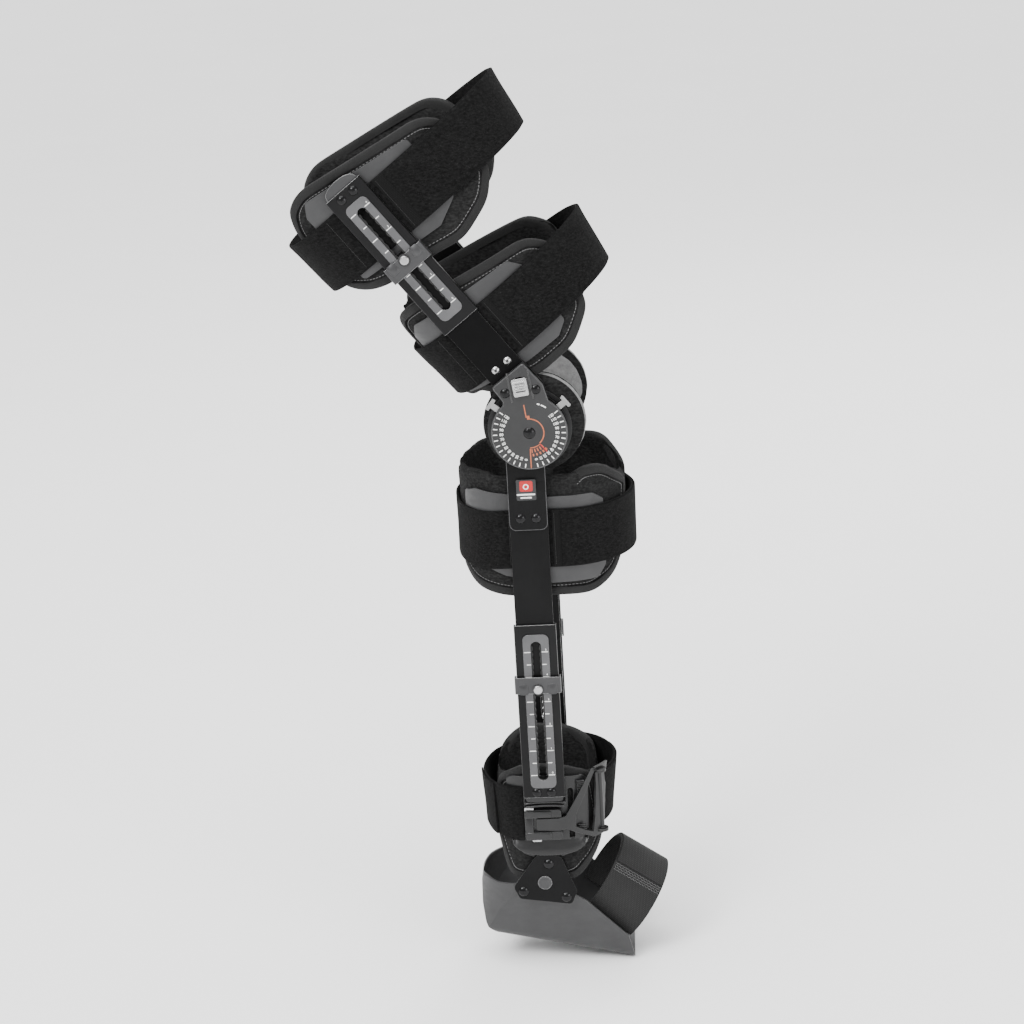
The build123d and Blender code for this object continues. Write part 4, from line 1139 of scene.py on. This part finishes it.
def screw_sockets():
    """Painted shade in the hex recess of each thigh bar screw: a black hexagon on its head."""
    place = side_place(THIGH_LEAN)
    parts = []
    face = -low("thigh_bar_screws").y
    for t in (13.0, 26.0):
        outline = [((t + 1.5 * cos(pi * k / 3)) * MM, (58.4 + 1.5 * sin(pi * k / 3)) * MM) for k in range(6)]
        # painted shade: black hexagon where the recess would be
        parts.append(slab_mesh(outline, place, face - 0.8 * MM, face + 0.02 * MM))
    both_sides("bar_screw_socket_shade", *join_meshes(parts), "thigh_frame", "label", "steel")


# ---------------------------------------------------------------- ankle and foot
def make_ankle():
    plate_lip()
    plate_ridges()
    ankle_bands()
    receiver_details()
    tongue_bar()
    badge()


def ankle_spot(ring, t, side, level, z):
    i = ring.index(t, side)
    x, y, nx, ny = ring.points[i]
    out = level - ring.level
    return Vector((x + nx * out, y + ny * out, z))


def plate_lip():
    """Rolled lower lip of the ankle plate, dished outward."""
    ring = Ring(ANKLE_SECTION, ANKLE_FACE, ANKLE_FACE + 2.4 * MM, 400)
    rings = []
    for k in range(49):
        u = -1 + 2 * k / 48
        t = (-3 + 33 * u) * MM
        drop = 15.5 * sqrt(max(0.0, 1 - abs(u) ** 2.6))
        i = ring.index(t, LATERAL)
        x, y, nx, ny = ring.points[i]
        section = []
        for down, out in ((0.0, -0.6), (0.25, 0.5), (0.6, 1.7), (0.9, 3.6), (1.0, 3.3), (0.92, 2.0),
                          (0.6, 0.2), (0.2, -1.4)):
            z = -385 - drop * down
            section.append(Vector((x + nx * out * MM, y + ny * out * MM, z * MM)))
        rings.append(section)
    both_sides("ankle_plate_lip", *sweep_mesh(rings, False), "ankle_frame", "ankle", "ankle_plastic", 60)


def plate_ridges():
    """Ribs from the plate out to the channel's end, and the grip patches beside the strap slot."""
    place = side_place()
    parts = []
    for z, half in ((-343.2, 18.2), (-346.4, 16.8)):
        rings = []
        for k in range(21):
            u = -1 + 2 * k / 20
            a = SHANK_X / MM + half * u
            height = z - 1.0 * u * u
            swell = sqrt(max(0.0, 1 - u ** 8)) * 0.9 + 0.1
            crest = [place(a * MM, (height + 1.1 * sin(b)) * MM,
                           BLOCK_FACE + (1.5 * max(cos(b), -0.2) * swell - 1.6) * MM)
                     for b in (-1.9, -1.2, -0.5, 0.0, 0.5, 1.2, 1.9)]
            foot = [place(a * MM, (height + rise) * MM, ANKLE_FACE - 0.5 * MM) for rise in (1.1, -1.1)]
            rings.append(crest + foot)
        parts.append(sweep_mesh(rings, False))
    for z0, z1 in ((-345.0, -329.5), (-378.0, -371.0)):
        count = int((z1 - z0) / 1.9)
        for k in range(count):
            z = z0 + 1.9 * (k + 0.5)
            parts.append(slab_mesh(box_outline(22.5, z - 0.5, 30.0, z + 0.5, 0.3),
                                   place, ANKLE_FACE - 1.6 * MM, ANKLE_FACE + 0.1 * MM))
    both_sides("ankle_plate_ridges", *join_meshes(parts), "ankle_frame", "ankle", "ankle_plastic", 50)


def ankle_bands():
    """Front strap through the buckle's loop and rear strap, each with its sewn end."""
    inner, outer = ANKLE_FACE + 0.25 * MM, STRAP_TOP
    ring = Ring(ANKLE_SECTION, outer, outer, 300)
    loop = ring.index(42.5 * MM, LATERAL)
    front_end = ring.index(15 * MM, MEDIAL)
    front = strap_rings(ring, (-380 * MM, -327 * MM), (inner, outer), 0.0, (0.10, 0.0),
                        range(loop, front_end), 2.0)
    verts, faces = sweep_mesh(front, False)
    band = piece("ankle_front_band", verts, faces, "ankle_frame", "strap_low", "strap", 50)
    rear_start = ring.index(-25 * MM, MEDIAL)
    rear_end = ring.index(-25 * MM, LATERAL)
    rear = strap_rings(ring, (-386 * MM, -334 * MM), (inner, outer), 0.0, (0.0, 0.05),
                       range(rear_start, rear_end), 4.0)
    back = piece("ankle_rear_band", *sweep_mesh(rear, False), "ankle_frame", "strap_low", "strap", 50)
    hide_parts("ankle_straps")
    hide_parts("ankle_straps")
    doubled = strap_rings(ring, (-379 * MM, -328 * MM), (outer + 0.1 * MM, outer + 1.8 * MM), 0.0,
                          (0.10, 0.0), range(loop + 4, loop + 58), 5.0)
    over = piece("ankle_front_overlap", *sweep_mesh(doubled, False), "ankle_frame", "strap_low", "strap", 50)
    flap_rings = strap_rings(ring, (-385 * MM, -335 * MM), (outer + 0.2 * MM, outer + 2.0 * MM), 0.0,
                             (0.0, 0.05), range(rear_end - 56, rear_end - 24), 6.0)
    flap = piece("ankle_rear_flap", *sweep_mesh(flap_rings, False), "ankle_frame", "strap_low", "strap", 50)


def receiver_details():
    """Lever and silver tabs of the ratchet base."""
    place = side_place()
    low_x, high_x = low("buckle_receiver").x / MM, high("buckle_receiver").x / MM
    low_z, high_z = low("buckle_receiver").z / MM, high("buckle_receiver").z / MM
    top = -low("buckle_receiver").y
    mid_z = (low_z + high_z) / 2
    frame_parts = []
    for z0, z1 in ((mid_z + 7.2, high_z - 1.0), (low_z + 1.0, mid_z - 7.2)):
        frame_parts.append(slab_mesh(box_outline(low_x + 1, z0, high_x - 9, z1, 1.6),
                                     place, top - 0.2 * MM, top + 1.0 * MM))
    frame_parts.append(slab_mesh(box_outline(low_x + 0.6, mid_z - 10, low_x + 7.5, mid_z + 10, 2.0), place,
                                 top - 3.0 * MM, top + 0.6 * MM))
    both = join_meshes(frame_parts)
    piece("buckle_lever", *both, "ankle_frame", "ankle", "ankle_plastic", 50)
    tabs = []
    for a0, z0, z1 in ((low_x + 0.2, high_z - 1.2, high_z + 2.4), (low_x + 6.0, low_z - 2.0, low_z + 1.0)):
        tabs.append(slab_mesh(box_outline(a0, z0, a0 + 8.4, z1, 0.9), place,
                              top - 3.4 * MM, top - 0.6 * MM))
    piece("buckle_tabs", *join_meshes(tabs), "ankle_frame", "steel", "steel", 50)


def tongue_bar():
    """Slanted flat bar of the buckle tongue, in front of the strap's loop."""
    ring = Ring(ANKLE_SECTION, STRAP_TOP, STRAP_TOP, 900)
    rings = []
    for k in range(25):
        u = k / 24
        z = -386.5 + 65.5 * u
        mid = 40.6 + 0.6 * sin(pi * u)
        wide = 4.1 + 1.3 * abs(2 * u - 1) ** 3
        slant = 2.2 * (2 * u - 1)
        section = []
        for j, level in ((-1, 0.9), (-0.9, 3.0), (-0.3, 3.5), (0.4, 3.5), (1, 2.8), (1, 0.9), (0.2, 0.6)):
            t = (mid + slant + wide * j) * MM
            section.append(ankle_spot(ring, t, LATERAL, STRAP_TOP + level * MM, z * MM))
        rings.append(section)
    piece("buckle_tongue_bar", *sweep_mesh(rings, False), "buckle", "ankle", "ankle_plastic", 50)


def badge():
    """Plain round badge on each ankle bracket."""
    place = side_place()
    centre = (-9.9, -427.4)
    disc = []
    for r, level in ((0.05, 0.75), (3.8, 0.75), (4.2, 0.55), (5.6, 0.55), (6.0, 0.8), (6.5, 0.6),
                     (6.5, -0.1)):
        ring = []
        for k in range(48):
            a = 2 * pi * k / 48
            ring.append(place((centre[0] + r * cos(a)) * MM, (centre[1] + r * sin(a)) * MM,
                              BRACKET_FACE + level * MM))
        disc.append(ring)
    both_sides("bracket_badge", *sweep_mesh(disc, False), "foot", "clamp", "bar_black", 40)


def make_instep():
    """Woven band over the instep, with an overlapped end and cross-stitched rows."""
    tilt = -(FOOT_PITCH + 21.8)
    half_wide, high_r, centre = 41.0, 40.5, -5.0
    def spot(angle, w, out):
        y = (half_wide + out) * sin(angle)
        g = centre + (high_r + out) * cos(angle)
        return limb(w * MM, y * MM, g * MM, tilt) + ANKLE_PIVOT
    limit = 2.23  # half the arc, in radians, from the top of the foot down to the shell
    def band(w0, w1, level0, level1, first, last, steps):
        rings = []
        for k in range(steps + 1):
            a = first + (last - first) * k / steps
            section = []
            for j in range(9):
                section.append(spot(a, w0 + (w1 - w0) * j / 8, level1))
            section.append(spot(a, w1 + 0.3, (level0 + level1) / 2))
            for j in range(9):
                section.append(spot(a, w1 - (w1 - w0) * j / 8, level0))
            section.append(spot(a, w0 - 0.3, (level0 + level1) / 2))
            rings.append(section)
        return sweep_mesh(rings, False)
    base = piece("instep_band", *band(56, 106, -2.2, 0.0, -limit, limit, 96), "foot", "webbing",
                 "webbing", 50)
    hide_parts("instep_strap")
    over = piece("instep_overlap", *band(57, 105, 0.1, 1.7, -0.75, 1.2, 60), "foot", "webbing", "webbing", 50)
    spots, along, normals = [], [], []
    for row in range(4):
        a = -0.80 - row * 0.05
        for k in range(30):
            w = 58.0 + 46.0 * k / 29
            spots.append(spot(a, w, 0.1))
            ahead = (spot(a, w + 1, 0.1) - spot(a, w, 0.1)).normalized()
            side = (spot(a + 0.01, w, 0.1) - spot(a, w, 0.1)).normalized()
            along.append((ahead + side * (0.9 if (k + row) % 2 else -0.9)).normalized())
            normals.append((spot(a, w, 1.1) - spot(a, w, 0.1)).normalized())
    verts, faces = seam_stitches(spots, along, normals, 1.7 * MM, 0.5 * MM, 0.35 * MM)
    piece("instep_stitches", verts, faces, "foot", "thread_light", "webbing", 80)


# ---------------------------------------------------------------- stage
def make_stage():
    floor_z = cad_box[0][2] - 0.5 * MM
    verts = [(-40, -40, floor_z), (40, -40, floor_z), (40, 40, floor_z), (-40, 40, floor_z)]
    mesh = bpy.data.meshes.new("floor")
    mesh.from_pydata(verts, [], [(0, 1, 2, 3)])
    floor = bpy.data.objects.new("floor", mesh)
    bpy.context.collection.objects.link(floor)
    m = Nodes("floor_pale")
    m.set(Base_Color=m.ramp(m.noise(3, 3), [(0.3, grey(0.95)), (0.7, grey(0.97))]), Roughness=0.9)
    mesh.materials.append(m.material)
    world = bpy.data.worlds.new("studio")
    bpy.context.scene.world = world
    world.use_nodes = True
    background = world.node_tree.nodes["Background"]
    background.inputs["Color"].default_value = (1.0, 1.0, 1.0, 1.0)
    background.inputs["Strength"].default_value = 0.85
    add_light("key", (-1.5, -2.0, 1.9), 1.1, 70)
    add_light("fill", (1.9, -1.7, 0.5), 1.4, 30)
    add_light("back", (0.8, 2.2, 1.6), 1.4, 40)
    sun = bpy.data.lights.new("daylight", "SUN")
    sun.energy = 3.6
    sun.angle = radians(55)
    lamp = bpy.data.objects.new("daylight", sun)
    lamp.rotation_euler = Vector((0.25, 0.45, -1.6)).to_track_quat("-Z", "Y").to_euler()
    bpy.context.collection.objects.link(lamp)


def add_light(name, spot, size, watts):
    light = bpy.data.lights.new(name, "AREA")
    light.shape = "DISK"
    light.size = size
    light.energy = watts
    lamp = bpy.data.objects.new(name, light)
    lamp.location = spot
    aim = Vector((0, 0, -0.1)) - Vector(spot)
    lamp.rotation_euler = aim.to_track_quat("-Z", "Y").to_euler()
    bpy.context.collection.objects.link(lamp)


def make_camera():
    """Camera a little above and in front of the lateral side, slightly rolled."""
    distance, azimuth, elevation, roll = 2.3, radians(3), radians(17.5), radians(-3.42)
    focal_px = 2300 / 0.85
    back = Vector((sin(azimuth) * cos(elevation), -cos(azimuth) * cos(elevation), sin(elevation)))
    right = Vector((cos(azimuth), sin(azimuth), 0))
    up = back.cross(right)
    turn = Matrix.Rotation(roll, 3, back)
    right, up = turn @ right, turn @ up
    anchor = Vector((0, -68 * MM, 0))
    side, lift = 15.05 * MM, 69.7 * MM
    spot = anchor + back * distance - right * side - up * lift
    camera = bpy.data.cameras.new("camera")
    camera.sensor_width = 36.0
    camera.lens = focal_px * 36.0 / 1024
    camera.clip_end = 50
    holder = bpy.data.objects.new("camera", camera)
    facing = Matrix((right, up, back)).transposed().to_4x4()
    holder.matrix_world = Matrix.Translation(spot) @ facing
    bpy.context.collection.objects.link(holder)
    bpy.context.scene.camera = holder


finish_nodes()
make_camera()
make_stage()
make_pads()
make_condyle_pads()
make_straps()
make_hinge()
make_bars()
make_ankle()
make_instep()

bpy.context.view_layer.update()
